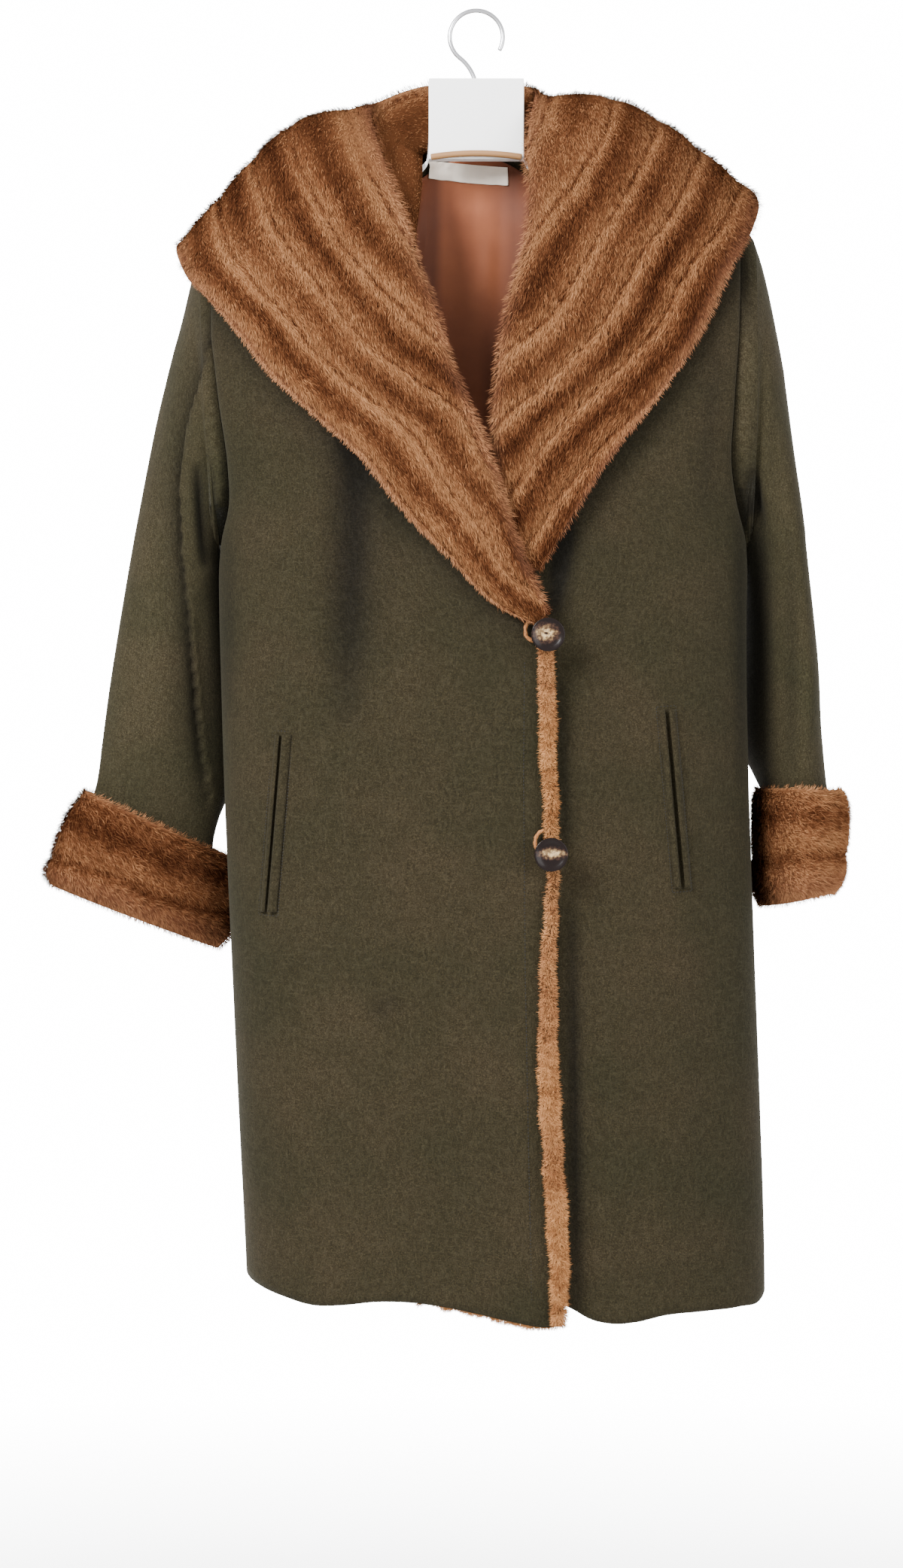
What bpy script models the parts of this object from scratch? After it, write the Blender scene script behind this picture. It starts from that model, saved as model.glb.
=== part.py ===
"""Wool coat with a fur shawl collar, hung on a plain hanger.

All tables are in millimetres; objects are made in metres. +Z is up, the fronts face -Y and +X is to
the right of a viewer in front. The origin is the inside of the hook's crown, where the hanger hangs.
"Right" and "left" in a piece's name are the wearer's: the right front lies at -X and laps over.
"""

import bpy
import numpy as np

MM = 0.001
GAP = 0.5  # clearance between pieces that touch in the real coat

CLOTH_WALL = 2.6  # coat cloth with its lining
SATIN_WALL = 1.0
LABEL_WALL = 0.8
FUR_WALL = 11.5  # pelt and pile of the collar's fall
STAND_WALL = 5.0
TRIM_WALL = 9.0
CUFF_WALL = 11.0
JET_WIDTH, JET_WALL = 5.4, 2.0
POCKET_MOUTH = 3.6
LINING_DEPTH = CLOTH_WALL + 2.6  # under the back's outer surface
LABEL_DEPTH = LINING_DEPTH + SATIN_WALL + 1.0

BODY_MIDDLE_X = 4.0
BODY_POWER = 2.6  # squareness of the body's section
CHEST_Z = -300.0
NECK_POINT = np.array([66.0, 2.0, -148.0])  # where the shoulder seam meets the collar
SHOULDER_TIP = {-1: np.array([-237.0, -1.0, -192.0]), 1: np.array([238.0, -1.0, -187.0])}
BACK_NECK_Z = -115.0
SEAM_Y = 4.0  # depth of the side and shoulder seams

BUTTON_RADIUS, BUTTON_THICK = 14.7, 5.4
HOOK_INNER_RADIUS, HOOK_WIRE_RADIUS = 22.0, 2.0

OLIVE = (0.070, 0.066, 0.040)
OLIVE_DARK = (0.050, 0.047, 0.030)
FUR_BROWN = (0.36, 0.16, 0.062)
FUR_LIGHT = (0.50, 0.26, 0.125)
SATIN_BROWN = (0.17, 0.062, 0.040)
LABEL_CREAM = (0.74, 0.70, 0.60)
HANGER_WHITE = (0.83, 0.83, 0.82)
HORN_DARK = (0.055, 0.045, 0.050)
STEEL = (0.60, 0.60, 0.62)


class Table:
    """Rows of numbers under named columns, read along the first column as smooth curves."""

    def __init__(self, names, *rows):
        self.names = names.split()
        self.rows = np.array(rows, float)

    def at(self, where, *names):
        """The named columns at each place of the first column: one array per name."""
        knots = self.rows[:, 0]
        columns = [self.names.index(name) for name in names]
        found = [smooth(where, knots, self.rows[:, column]) for column in columns]
        return found[0] if len(found) == 1 else found

    def points(self, where, stem):
        """The columns stem_x, stem_y and stem_z as points."""
        return np.stack(self.at(where, stem + "_x", stem + "_y", stem + "_z"), axis=-1)


def smooth(where, knots, values):
    """Cubic curve through (knots, values) with each slope taken over the neighbouring rows."""
    where = np.clip(np.asarray(where, float), knots[0], knots[-1])
    slopes = np.gradient(values, knots)
    row = np.clip(np.searchsorted(knots, where, side="right") - 1, 0, len(knots) - 2)
    span = knots[row + 1] - knots[row]
    s = (where - knots[row]) / span
    return (
        (1 + 2 * s) * (1 - s) ** 2 * values[row]
        + s * (1 - s) ** 2 * span * slopes[row]
        + s * s * (3 - 2 * s) * values[row + 1]
        + s * s * (s - 1) * span * slopes[row + 1]
    )


# Body at each height: side seams or armholes, depth of the two fronts and the back, and how far
# forward and back the armhole runs.
BODY = Table(
    "z left right over under back arm_front arm_back",
    (-1180, -205.5, 260.5, 122, 111, 79, SEAM_Y, SEAM_Y),
    (-1120, -208, 260, 120, 109, 78, SEAM_Y, SEAM_Y),
    (-1000, -214, 256.5, 117, 107.5, 77, SEAM_Y, SEAM_Y),
    (-850, -221, 251, 113, 105, 76, SEAM_Y, SEAM_Y),
    (-700, -227.5, 246, 111, 103, 75, SEAM_Y, SEAM_Y),
    (-600, -230.5, 244, 110, 100, 74, SEAM_Y, SEAM_Y),
    (-540, -232, 244, 109, 95, 73, SEAM_Y, SEAM_Y),
    (-500, -232, 244.5, 107, 91, 72, 3, 5),
    (-476, -229, 242, 105, 89, 71, -8, 12),
    (-450, -222, 234, 103, 87, 70, -27, 23),
    (-415, -222, 227.5, 100, 84.5, 68, -43, 33),
    (-360, -229, 229, 95, 81, 66, -55, 40),
    (-300, -236, 233, 88, 78, 63, -58, 42),
)

# Free edge of each front against the height: the closing edge below, under the collar above.
RIGHT_EDGE = Table(
    "z x",
    (-1180, 74), (-1075, 73), (-1020, 70), (-970, 67), (-900, 65), (-810, 65), (-740, 65),
    (-640, 63), (-570, 60), (-545, 48), (-520, 33), (-490, 19), (-450, 5), (-400, -14), (-350, -32),
    (-300, -53),
)
LEFT_EDGE = Table(
    "z x",
    (-1180, 26), (-900, 26), (-620, 26), (-545, 32), (-510, 50), (-470, 38), (-430, 31), (-390, 27),
    (-345, 29), (-300, 36),
)

# Height of the hem across the coat, seen from the front.
HEM = Table(
    "x z",
    (-210, -1131), (-203, -1137), (-190, -1143), (-170, -1149), (-145, -1154.5), (-120, -1153.5),
    (-88, -1149.5), (-60, -1149.5), (-30, -1153), (0, -1159), (30, -1166), (60, -1171), (74, -1170),
)
HEM_LEFT = Table(
    "x z",
    (26, -1152), (80, -1155), (100, -1166), (118, -1170), (140, -1169), (165, -1164), (200, -1162),
    (235, -1160.5), (254, -1158), (262, -1150),
)
HEM_NOMINAL = -1160.0

# Soft creases pressed into the cloth: two ends on the front view, half width and depth.
CREASES = (
    (-128, -395, -133, -660, 26, 6.0),
    (-86, -520, -78, -640, 22, 2.5),
    (-196, -470, -186, -620, 20, 3.0),
    (-60, -900, -88, -960, 16, 2.6),
    (-150, -760, -140, -1120, 34, 3.0),
    (-12, -700, -16, -1130, 30, 2.4),
    (206, -300, 192, -470, 16, 4.0),
    (140, -480, 128, -800, 34, 3.2),
    (100, -620, 104, -1100, 22, 2.8),
    (214, -640, 222, -1120, 26, 2.6),
)
BACK_CREASES = (
    (-96, -420, -108, -1000, 34, 4.0),
    (70, -460, 84, -1110, 40, 4.5),
    (168, -380, 158, -760, 26, 3.0),
    (-170, -620, -160, -1120, 30, 3.0),
)

# Sleeves below the armhole: outer and inner point of each ring, its depth in front and behind, and
# how far the front leans towards +X.
SLEEVE = {
    -1: Table(
        "s outer_x outer_y outer_z inner_x inner_y inner_z front back lean",
        (1, -248, 2, -207, -239, 6, -484, 59, 46, 0),
        (2, -257, 4, -238, -239, 8, -492, 59, 50, 0),
        (3, -267, 5, -279, -238, 12, -504, 58, 53, 0),
        (4, -278, 6, -320, -237, 16, -520, 56, 55, 3),
        (5, -288.5, 7, -362, -235, 20, -540, 54, 56, 6),
        (6, -298, 8, -408, -233, 24, -562, 53, 56, 8),
        (7, -307, 9, -455, -231, 26, -587, 52, 55, 9),
        (8, -316, 10, -505, -230, 28, -614, 50, 54, 9),
        (9, -325, 11, -558, -229, 29, -642, 47, 52, 8),
        (10, -333.5, 12, -612, -227.5, 30, -673, 43, 48, 6),
        (11, -340, 13, -660, -228, 31, -706, 33, 38, 4),
        (12, -346, 15, -700, -239, 33, -748, 20, 23, 2),
        (13, -361, 17, -738, -241, 35, -792, 15, 18, 0),
        (14, -375, 17, -774, -249, 35, -830, 12, 14, 0),
    ),
    1: Table(
        "s outer_x outer_y outer_z inner_x inner_y inner_z front back lean",
        (1, 250.5, 2, -206, 250, 6, -478, 58, 46, 0),
        (2, 260, 4, -234, 251, 10, -486, 58, 52, 0),
        (3, 269.5, 8, -274, 252, 15, -498, 60, 56, 2),
        (4, 278, 12, -318, 252.5, 22, -512, 61, 59, 4),
        (5, 284.5, 14, -362, 252, 29, -530, 62, 61, 7),
        (6, 290.5, 16, -405, 251, 35, -552, 63, 62, 9),
        (7, 296.5, 18, -448, 250, 40, -578, 64, 62, 10),
        (8, 301.5, 19, -492, 249, 43, -606, 64, 61, 10),
        (9, 306.5, 20, -540, 249, 45, -636, 64, 60, 10),
        (10, 311, 21, -592, 250, 46, -666, 63, 59, 9),
        (11, 314, 23, -645, 256, 40, -688, 58, 54, 5),
        (12, 318, 24, -690, 265, 36, -720, 52, 50, 2),
        (13, 323, 26, -735, 267, 34, -756, 50, 49, 0),
        (14, 313, 26, -778, 268, 34, -792, 45, 46, 0),
    ),
}
CUFF = {
    -1: Table(
        "s outer_x outer_y outer_z inner_x inner_y inner_z front back lean",
        (0, -355, 14, -699, -226, 40, -759, 32, 30, 0),
        (1, -364, 13, -706, -219, 41, -766, 36, 34, 0),
        (2, -377, 12, -727, -216, 42, -788, 38, 37, 0),
        (3, -388, 12, -756, -217, 42, -815, 38, 37, 0),
        (4, -395, 12, -778, -222, 42, -838, 36, 34, 0),
        (5, -387, 13, -792, -236, 41, -851, 28, 26, 0),
    ),
    1: Table(
        "s outer_x outer_y outer_z inner_x inner_y inner_z front back lean",
        (0, 332, 22, -699, 253, 31, -699, 66, 65, 0),
        (1, 339, 21, -708, 250.5, 32, -705, 69, 69, 0),
        (2, 341.5, 20, -726, 249, 33, -725, 72, 71, 0),
        (3, 340, 20, -752, 249, 33, -758, 72, 71, 0),
        (4, 336, 20, -783, 250, 33, -792, 69, 69, 0),
        (5, 325, 21, -799, 259, 32, -812, 60, 61, 0),
    ),
}

# Collar sections, from the right front's lower tip round the neck to the left front's: neck seam,
# roll line, outer edge, rise of the fall between them and radius of the roll.
COLLAR = Table(
    "s seam_x seam_y seam_z roll_x roll_y roll_z edge_x edge_y edge_z rise bend",
    (0, 58, -110, -549, 62, -119, -551, 50, -119, -559.5, 0, 3.5),
    (1, 49, -108, -527, 56, -119, -528, 33, -120, -553, 1.5, 5),
    (2, 38, -106, -505, 45, -119, -507, 14, -120, -542, 3, 6),
    (3, 29, -105, -484, 37, -118, -486, -6, -120, -524, 4, 6.5),
    (4, 21, -103, -459, 29, -117, -461, -27, -118, -501, 5, 6.5),
    (5, 4, -99, -405, 12, -114, -407, -66, -115, -462, 6, 6.5),
    (6, -13, -96, -362, -5, -111, -364, -106, -109, -411, 7, 6.5),
    (7, -29, -92, -324, -21, -107, -326, -151, -102, -370, 8, 6.5),
    (8, -38, -88, -293, -30, -103, -295, -186, -95, -337, 8, 6.5),
    (9, -48, -82, -262, -40, -98, -264, -207, -89, -309, 8, 6.5),
    (10, -54, -72, -238, -50, -90, -238, -231, -79, -279, 9, 7),
    (11, -54, -60, -215, -59, -78, -203, -253, -62, -254, 12, 7.5),
    (12, -51, -44, -192, -71, -62, -167, -266, -44, -239, 18, 8),
    (13, -48, -18, -157, -84, -40, -130, -275, -12, -215, 26, 8.5),
    (14, -48, -1, -134, -94, 4, -88, -270, 25, -204, 30, 9),
    (15, -46, 25, -121, -86, 36, -71, -246, 54, -215, 25, 9),
    (16, -37, 38, -117, -57, 55, -56, -184, 72, -236, 18, 9),
    (17, -20, 44, -115, -28, 63, -51, -92, 80, -246, 15, 9),
    (18, 0, 46, -112, 0, 65, -50, 2, 82, -248, 14, 9),
    (19, 20, 44, -114, 26, 61, -52, 94, 80, -244, 15, 9),
    (20, 37, 38, -118, 41, 47, -55, 182, 72, -226, 19, 9),
    (21, 46, 26, -122, 50, 27, -61, 232, 56, -190, 26, 9),
    (22, 51, 0, -134, 52, 8, -70, 252, 30, -158, 30, 9),
    (23, 51, -18, -156, 47, -18, -96, 259, -8, -174, 26, 8.5),
    (24, 51, -34, -184, 43, -42, -131, 251, -38, -200, 19, 8),
    (25, 51, -48, -203, 45, -62, -169, 241, -58, -218, 13, 7.5),
    (26, 48, -60, -222, 42, -79, -209, 228, -73, -240, 10, 7),
    (27, 34, -74, -263, 28, -90, -262, 203, -85, -295, 8, 6.5),
    (28, 28, -79, -295, 21, -94, -294, 183, -89, -328, 8, 6.5),
    (29, 24, -82, -331, 16, -96, -330, 157, -94, -365, 7, 6),
    (30, 20, -84, -376, 12, -98, -374, 126, -98, -402, 6, 6),
    (31, 21, -87, -421, 14, -101, -419, 103, -101, -435, 5, 6),
    (32, 29, -89, -467, 22, -103, -465, 87, -103, -461, 4, 6),
    (33, 40, -91, -490, 33, -104, -488, 71, -105, -487, 2, 5),
    (34, 49, -94, -509, 45, -105, -507, 57, -105, -510, 0, 3.5),
)

# Closing edge's fur strip: its two sides against the height.
TRIM = Table(
    "z left right",
    (-1169, 61.5, 79), (-1128, 61, 80.4), (-1075, 57, 79.8), (-1023, 53.6, 76.5), (-970, 50.5, 73.8),
    (-918, 50.3, 72), (-866, 51.6, 70.6), (-814, 56.8, 71.2), (-776, 59.6, 71.4), (-736, 57.5, 71.3),
    (-683, 54.4, 69.8), (-630, 51.4, 69.8), (-584, 51.8, 68.8), (-569, 52.5, 68.5),
)

# Pocket mouths: upper and lower end of each opening's middle line.
POCKET_LINE = {-1: ((-171.3, -653.5), (-184.5, -810.0)), 1: ((167.0, -631.5), (181.0, -789.0))}

BUTTONS = {"upper": (61.6, -125.3, -567.0), "lower": (64.3, -126.4, -758.5)}
LOOPS = {
    "upper": ((48.0, -112.6, -564), (43.4, -113.6, -565.5), (41.8, -113.8, -570), (44, -113.6, -575), (48, -113.0, -577)),
    "lower": ((54.4, -114.6, -737), (51.6, -115.2, -741), (49.2, -115.2, -747.5), (50.2, -115, -755), (53, -114.6, -760)),
}
LOOP_RADIUS = 1.9

# Hanger along its length: height of its top and bottom, and its front and back.
HANGER = Table(
    "x top bottom front back",
    (-198, -202, -210, -3, 7),
    (-191, -198, -214, -8, 10),
    (-150, -188, -209, -10, 12),
    (-90, -173, -197, -10, 12),
    (-66, -163, -186, -8, 11),
    (-56, -150, -172, -6, 10),
    (-49, -141, -158, -5, 9),
)
PLATE_HALF_WIDTH = 42.0
PLATE_TOP, PLATE_BOTTOM = -60.0, -133.0


def grid_normals(points, wrap):
    """Unit normals of a grid, as its column direction crossed with its row direction."""
    if wrap:
        across = np.roll(points, -1, axis=1) - np.roll(points, 1, axis=1)
    else:
        across = np.gradient(points, axis=1)
    normals = np.cross(across, np.gradient(points, axis=0))
    return normals / np.linalg.norm(normals, axis=2, keepdims=True)


def add_object(name, points, faces, colour, roughness):
    """One object with its own material; faces are turned outward by the sign of its volume."""
    points = np.asarray(points, float)
    volume = sum(
        np.dot(points[f[0]], np.cross(points[f[i]], points[f[i + 1]]))
        for f in faces
        for i in range(1, len(f) - 1)
    )
    if volume < 0:
        faces = [face[::-1] for face in faces]
    mesh = bpy.data.meshes.new(name)
    mesh.from_pydata((points * MM).tolist(), [], [tuple(int(i) for i in face) for face in faces])
    mesh.polygons.foreach_set("use_smooth", [True] * len(mesh.polygons))
    material = bpy.data.materials.new(name)
    material.use_nodes = True
    shader = material.node_tree.nodes["Principled BSDF"]
    shader.inputs["Base Color"].default_value = (*colour, 1.0)
    shader.inputs["Roughness"].default_value = roughness
    material.diffuse_color = (*colour, 1.0)
    mesh.materials.append(material)
    obj = bpy.data.objects.new(name, mesh)
    bpy.context.scene.collection.objects.link(obj)
    return obj


def wall(name, outer, thickness, outward, colour, roughness, wrap=False, seams=()):
    """Sheet of cloth or fur: an outer grid, the same grid moved in by the thickness, and the rims.

    At the seams, given as index expressions into the grid, the rim lies flat against the neighbour's.
    """
    rows, columns = outer.shape[:2]
    depth = np.broadcast_to(thickness, (rows, columns))[..., None]
    inner = outer - outward * grid_normals(outer, wrap) * depth
    for seam in seams:
        inner[seam][..., 1] = outer[seam][..., 1]
    points = np.concatenate([outer.reshape(-1, 3), inner.reshape(-1, 3)])
    index = np.arange(rows * columns).reshape(rows, columns)
    behind = rows * columns
    steps = [(c, (c + 1) % columns) for c in range(columns if wrap else columns - 1)]
    faces = []
    for r in range(rows - 1):
        for c, d in steps:
            a, b, e, f = index[r, c], index[r, d], index[r + 1, d], index[r + 1, c]
            faces += [(a, b, e, f), (f + behind, e + behind, b + behind, a + behind)]
    for c, d in steps:
        for a, b in ((index[0, c], index[0, d]), (index[-1, d], index[-1, c])):
            faces.append((b, a, a + behind, b + behind))
    if not wrap:
        for r in range(rows - 1):
            for a, b in ((index[r + 1, 0], index[r, 0]), (index[r, -1], index[r + 1, -1])):
                faces.append((b, a, a + behind, b + behind))
    return add_object(name, points, faces, colour, roughness)


def loft(name, rings, colour, roughness):
    """Solid through closed rings, with a flat cap at each end."""
    rows, columns = rings.shape[:2]
    index = np.arange(rows * columns).reshape(rows, columns)
    faces = [
        (index[r, c], index[r, (c + 1) % columns], index[r + 1, (c + 1) % columns], index[r + 1, c])
        for r in range(rows - 1)
        for c in range(columns)
    ]
    faces += [tuple(index[0, ::-1]), tuple(index[-1])]
    return add_object(name, rings.reshape(-1, 3), faces, colour, roughness)


def cord(name, path, radius, sides, colour, roughness):
    """Round cord along a smooth path through the given points."""
    path = np.asarray(path, float)
    tangents = np.gradient(path, axis=0)
    tangents /= np.linalg.norm(tangents, axis=1, keepdims=True)
    first = np.cross(tangents, (0.0, 1.0, 0.0))
    first /= np.linalg.norm(first, axis=1, keepdims=True)
    second = np.cross(tangents, first)
    turn = np.linspace(0, 2 * np.pi, sides, endpoint=False)[None, :, None]
    rings = path[:, None] + radius * (np.cos(turn) * first[:, None] + np.sin(turn) * second[:, None])
    return loft(name, rings, colour, roughness)


def crease_depth(x, z, creases):
    """How far the creases push the cloth in at each place of the front view."""
    depth = np.zeros(np.broadcast(x, z).shape)
    for x0, z0, x1, z1, width, deep in creases:
        length2 = (x1 - x0) ** 2 + (z1 - z0) ** 2
        along = ((x - x0) * (x1 - x0) + (z - z0) * (z1 - z0)) / length2
        aside = ((x - x0) * (z1 - z0) - (z - z0) * (x1 - x0)) / np.sqrt(length2)
        inside = np.clip(along, 0, 1)
        depth += deep * np.exp(-((aside / width) ** 2)) * np.sqrt(4 * inside * (1 - inside))
    return depth


def section_y(x, side_x, middle_y, side_y):
    """Depth of the body's rounded section at x."""
    u = np.clip(np.abs((x - BODY_MIDDLE_X) / (side_x - BODY_MIDDLE_X)), 0, 1)
    return side_y + (middle_y - side_y) * (1 - u**BODY_POWER) ** (1 / BODY_POWER)


def side_fade(x, side_x):
    """One over most of a panel and nothing at its side seam, so that creases leave the seams alone."""
    u = np.clip(np.abs((x - BODY_MIDDLE_X) / (side_x - BODY_MIDDLE_X)), 0, 1)
    return 1 - u**6


def front_y(side, x, z):
    """Outer surface of a front below the chest line; side -1 is the wearer's right, which laps over."""
    side_x, middle, arm = BODY.at(z, *(("left", "over") if side < 0 else ("right", "under")), "arm_front")
    y = section_y(x, side_x, -middle, arm - GAP / 2)
    return y + crease_depth(x, z, CREASES) * side_fade(x, side_x)


def back_y(x, z):
    """Outer surface of the back below the chest line."""
    left, right, middle, arm = BODY.at(z, "left", "right", "back", "arm_back")
    side_x = np.where(x < BODY_MIDDLE_X, left, right)
    y = section_y(x, side_x, middle, arm + GAP / 2)
    return y - crease_depth(x, z, BACK_CREASES) * side_fade(x, side_x)


def rise_to_shoulder(low, high, v):
    """Rows from the chest line up to a shoulder or neck edge, rounding over towards it."""
    v = v[:, None]
    points = low[None] + (high - low)[None] * v[..., None]
    round_over = (1 - v**1.5) ** (1 / 1.3)
    points[..., 1] = high[None, :, 1] + (low[:, 1] - high[:, 1])[None] * round_over
    return points


def front_grid(side, columns, low_rows, high_rows):
    """Outer surface of one front, from its free edge to the side seam and from hem to shoulder."""
    across = np.sin(np.linspace(0, 1, columns) * np.pi / 2)
    rows = np.linspace(0, 1, low_rows)
    z_row = HEM_NOMINAL + (CHEST_Z - HEM_NOMINAL) * rows
    edge = (RIGHT_EDGE if side < 0 else LEFT_EDGE).at(z_row, "x")
    side_x = BODY.at(z_row, "left" if side < 0 else "right")
    x = edge[:, None] + (side_x - edge)[:, None] * across[None]
    hem = (HEM if side < 0 else HEM_LEFT).at(x, "z") - HEM_NOMINAL
    z = z_row[:, None] + hem * ((1 - rows) ** 2.5)[:, None]
    low = np.stack([x, front_y(side, x, z), z], axis=-1)
    neck = NECK_POINT * (side, 1, 1)
    top = neck + (SHOULDER_TIP[side] - neck) * ((across - across[0]) / (across[-1] - across[0]))[:, None]
    top[:, 1] -= GAP / 2
    v = np.linspace(0, 1, high_rows)[1:]
    high = rise_to_shoulder(low[-1], top, v)
    high[..., 0] += side * 8 * (np.sin(np.pi * v)[:, None] * (1 - across[None]) ** 2)
    return np.concatenate([low, high])


def neck_and_shoulder(x):
    """Top edge of the back: the neck's curve between the two shoulder seams."""
    side = np.where(x < 0, -1, 1)
    tips = np.where(side[:, None] < 0, SHOULDER_TIP[-1], SHOULDER_TIP[1])
    reach = np.clip((np.abs(x) - NECK_POINT[0]) / (np.abs(tips[:, 0]) - NECK_POINT[0]), 0, 1)
    hollow = np.clip(1 - (x / NECK_POINT[0]) ** 2, 0, 1)
    z = np.where(
        np.abs(x) < NECK_POINT[0],
        NECK_POINT[2] + (BACK_NECK_Z - NECK_POINT[2]) * hollow,
        NECK_POINT[2] + (tips[:, 2] - NECK_POINT[2]) * reach,
    )
    y = NECK_POINT[1] + (tips[:, 1] - NECK_POINT[1]) * reach + GAP / 2 + 44 * np.sqrt(hollow)
    return np.stack([x, y, z], axis=-1)


def back_grid(columns, low_rows, high_rows):
    """Outer surface of the back, from side seam to side seam and from hem to shoulders."""
    across = np.linspace(-1, 1, columns)
    across = 1.3 * across - 0.3 * across**3
    z_row = np.linspace(-1150, CHEST_Z, low_rows)
    left, right = BODY.at(z_row, "left", "right")
    x = (left + right)[:, None] / 2 + (right - left)[:, None] / 2 * across[None]
    z = np.repeat(z_row[:, None], columns, axis=1)
    z[0] += 14 * across**4
    low = np.stack([x, back_y(x, z), z], axis=-1)
    ends = SHOULDER_TIP[-1][0], SHOULDER_TIP[1][0]
    top = neck_and_shoulder((ends[0] + ends[1]) / 2 + (ends[1] - ends[0]) / 2 * across)
    return np.concatenate([low, rise_to_shoulder(low[-1], top, np.linspace(0, 1, high_rows)[1:])])


def armhole_ring(side, turn):
    """The armhole seam as a ring that starts at the shoulder tip and runs down the front."""
    tip = SHOULDER_TIP[side]
    low_z = -480.0
    z = (tip[2] + low_z) / 2 + (tip[2] - low_z) / 2 * np.cos(turn)
    x, front, back = BODY.at(z, "left" if side < 0 else "right", "arm_front", "arm_back")
    v = np.clip((z - CHEST_Z) / (tip[2] - CHEST_Z), 0, 1)
    over = (1 - v**1.5) ** (1 / 1.3)
    x = np.where(z > CHEST_Z, x + (tip[0] - x) * v, x)
    y = np.where(np.sin(turn) > 0, front, back)
    y = np.where(z > CHEST_Z, tip[1] + (y - tip[1]) * over, y)
    return np.stack([x + side * 2.4, y, z], axis=-1)


def ring(table, s, turn):
    """One ring of a sleeve or cuff: outer point at turn 0, front at a quarter turn."""
    outer, inner = table.points(s, "outer"), table.points(s, "inner")
    front, back, lean = table.at(s, "front", "back", "lean")
    sine = np.sin(turn)
    points = (outer + inner) / 2 + (outer - inner) / 2 * np.cos(turn)[:, None]
    points[:, 1] -= np.where(sine > 0, front, back) * sine
    points[:, 0] += lean * np.where(sine > 0, sine**2, 0)
    return points


def sleeve_grid(side, rows, columns):
    """Outer surface of a sleeve, as rings from the armhole to the end inside the cuff."""
    turn = np.linspace(0, 2 * np.pi, columns, endpoint=False)
    rings = [armhole_ring(side, turn)]
    rings += [ring(SLEEVE[side], s, turn) for s in np.linspace(1, 14, rows - 1)]
    return np.stack(rings)


def cuff_grid(side, rows, columns):
    """Outer surface of a fur cuff, as rings from its upper edge to its fold."""
    turn = np.linspace(0, 2 * np.pi, columns, endpoint=False)
    return np.stack([ring(CUFF[side], s, turn) for s in np.linspace(0, 5, rows)])


def unit(vectors):
    return vectors / np.linalg.norm(vectors, axis=-1, keepdims=True)


# Places across a collar section: 0 at the neck seam, 0.2 at the roll and 1 at the outer edge.
COLLAR_STEPS = np.array([0.0, 0.1, 0.16, 0.2, 0.24, 0.31, 0.41, 0.52, 0.64, 0.76, 0.88, 1.0])


def collar_grid(stations, steps):
    """Outer, fur-covered surface of the collar: stations along it and steps across it."""
    s = np.linspace(0, 34, stations)
    seam, roll, edge = (COLLAR.points(s, stem) for stem in ("seam", "roll", "edge"))
    rise, bend = COLLAR.at(s, "rise", "bend")
    fall = edge - roll
    outward = -unit(np.cross(fall, np.gradient((roll + edge) / 2, axis=0)))
    sink = outward * np.sum(fall * 0.5 * outward, axis=1)[:, None]
    up = -unit((seam - roll) * 0.5 + fall * 0.5 - sink)
    knots = [0.0, 0.14, 0.2, 0.26]
    lines = [
        seam,
        roll - outward * bend[:, None] - up * bend[:, None] * 0.9,
        roll - outward * bend[:, None] * 0.15,
        roll + outward * bend[:, None] * 0.55 - up * bend[:, None] * 0.9,
    ]
    for t in (0.25, 0.45, 0.65, 0.85, 1.0):
        lines.append(roll + fall * t + outward * (rise * np.sin(np.pi * t**0.8))[:, None])
        knots.append(0.2 + 0.8 * t)
    lines = np.stack(lines, axis=1)
    grid = np.empty((stations, len(steps), 3))
    for k in range(stations):
        for axis in range(3):
            grid[k, :, axis] = smooth(steps, np.array(knots), lines[k, :, axis])
    return grid


def collar_thickness(stations, steps):
    """Thin at the stand, full over the fall and softer at the outer edge and the two tips."""
    across = smooth(
        steps,
        np.array([0, 0.14, 0.2, 0.3, 0.5, 0.88, 1.0]),
        np.array([STAND_WALL, STAND_WALL, 5.5, 9.5, FUR_WALL, FUR_WALL, 8.5]),
    )
    s = np.linspace(0, 34, stations)
    tips = np.clip(0.62 + np.minimum(s, 34 - s) * 0.19, 0, 1)
    return tips[:, None] * across[None]


def on_front(side, x, z, lift):
    """Points on a front, moved out by the lift."""
    step = 1.0
    here = np.stack([x, front_y(side, x, z), z], axis=-1)
    right = np.stack([x + step, front_y(side, x + step, z), z], axis=-1)
    above = np.stack([x, front_y(side, x, z + step), z + step], axis=-1)
    return here + unit(np.cross(right - here, above - here)) * np.asarray(lift)[..., None]


def trim_grid(rows, columns):
    """Outer surface of the fur strip, rounded across and lying on the lapping front."""
    z = np.linspace(-1169, -568, rows)[:, None]
    left, right = TRIM.at(z, "left", "right")
    across = np.linspace(0, 1, columns)[None]
    x = left + (right - left) * across
    crown = np.repeat(np.sin(np.pi * (0.12 + 0.76 * across)) ** 0.6, rows, axis=0)
    thickness = TRIM_WALL * crown
    heights = np.repeat(z, columns, axis=1)
    outer = on_front(-1, np.minimum(x, 60.0), heights, GAP + 0.2 + thickness)
    outer[..., 0] += np.maximum(x - 60.0, 0)
    return outer, thickness


def jet_grid(side, edge, rows):
    """One of the two narrow welts that lip a pocket's mouth; edge -1 or +1 says which."""
    (x0, z0), (x1, z1) = POCKET_LINE[side]
    t = np.linspace(0, 1, rows)[:, None]
    across = np.array([0.0, 0.5, 1.0])[None]
    x = x0 + (x1 - x0) * t + edge * (POCKET_MOUTH / 2 + JET_WIDTH * across)
    z = z0 + (z1 - z0) * t + 0 * across
    lift = GAP + JET_WALL * np.array([0.85, 1.1, 0.8])[None] + 0 * t
    return on_front(side, x, z, lift)


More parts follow.
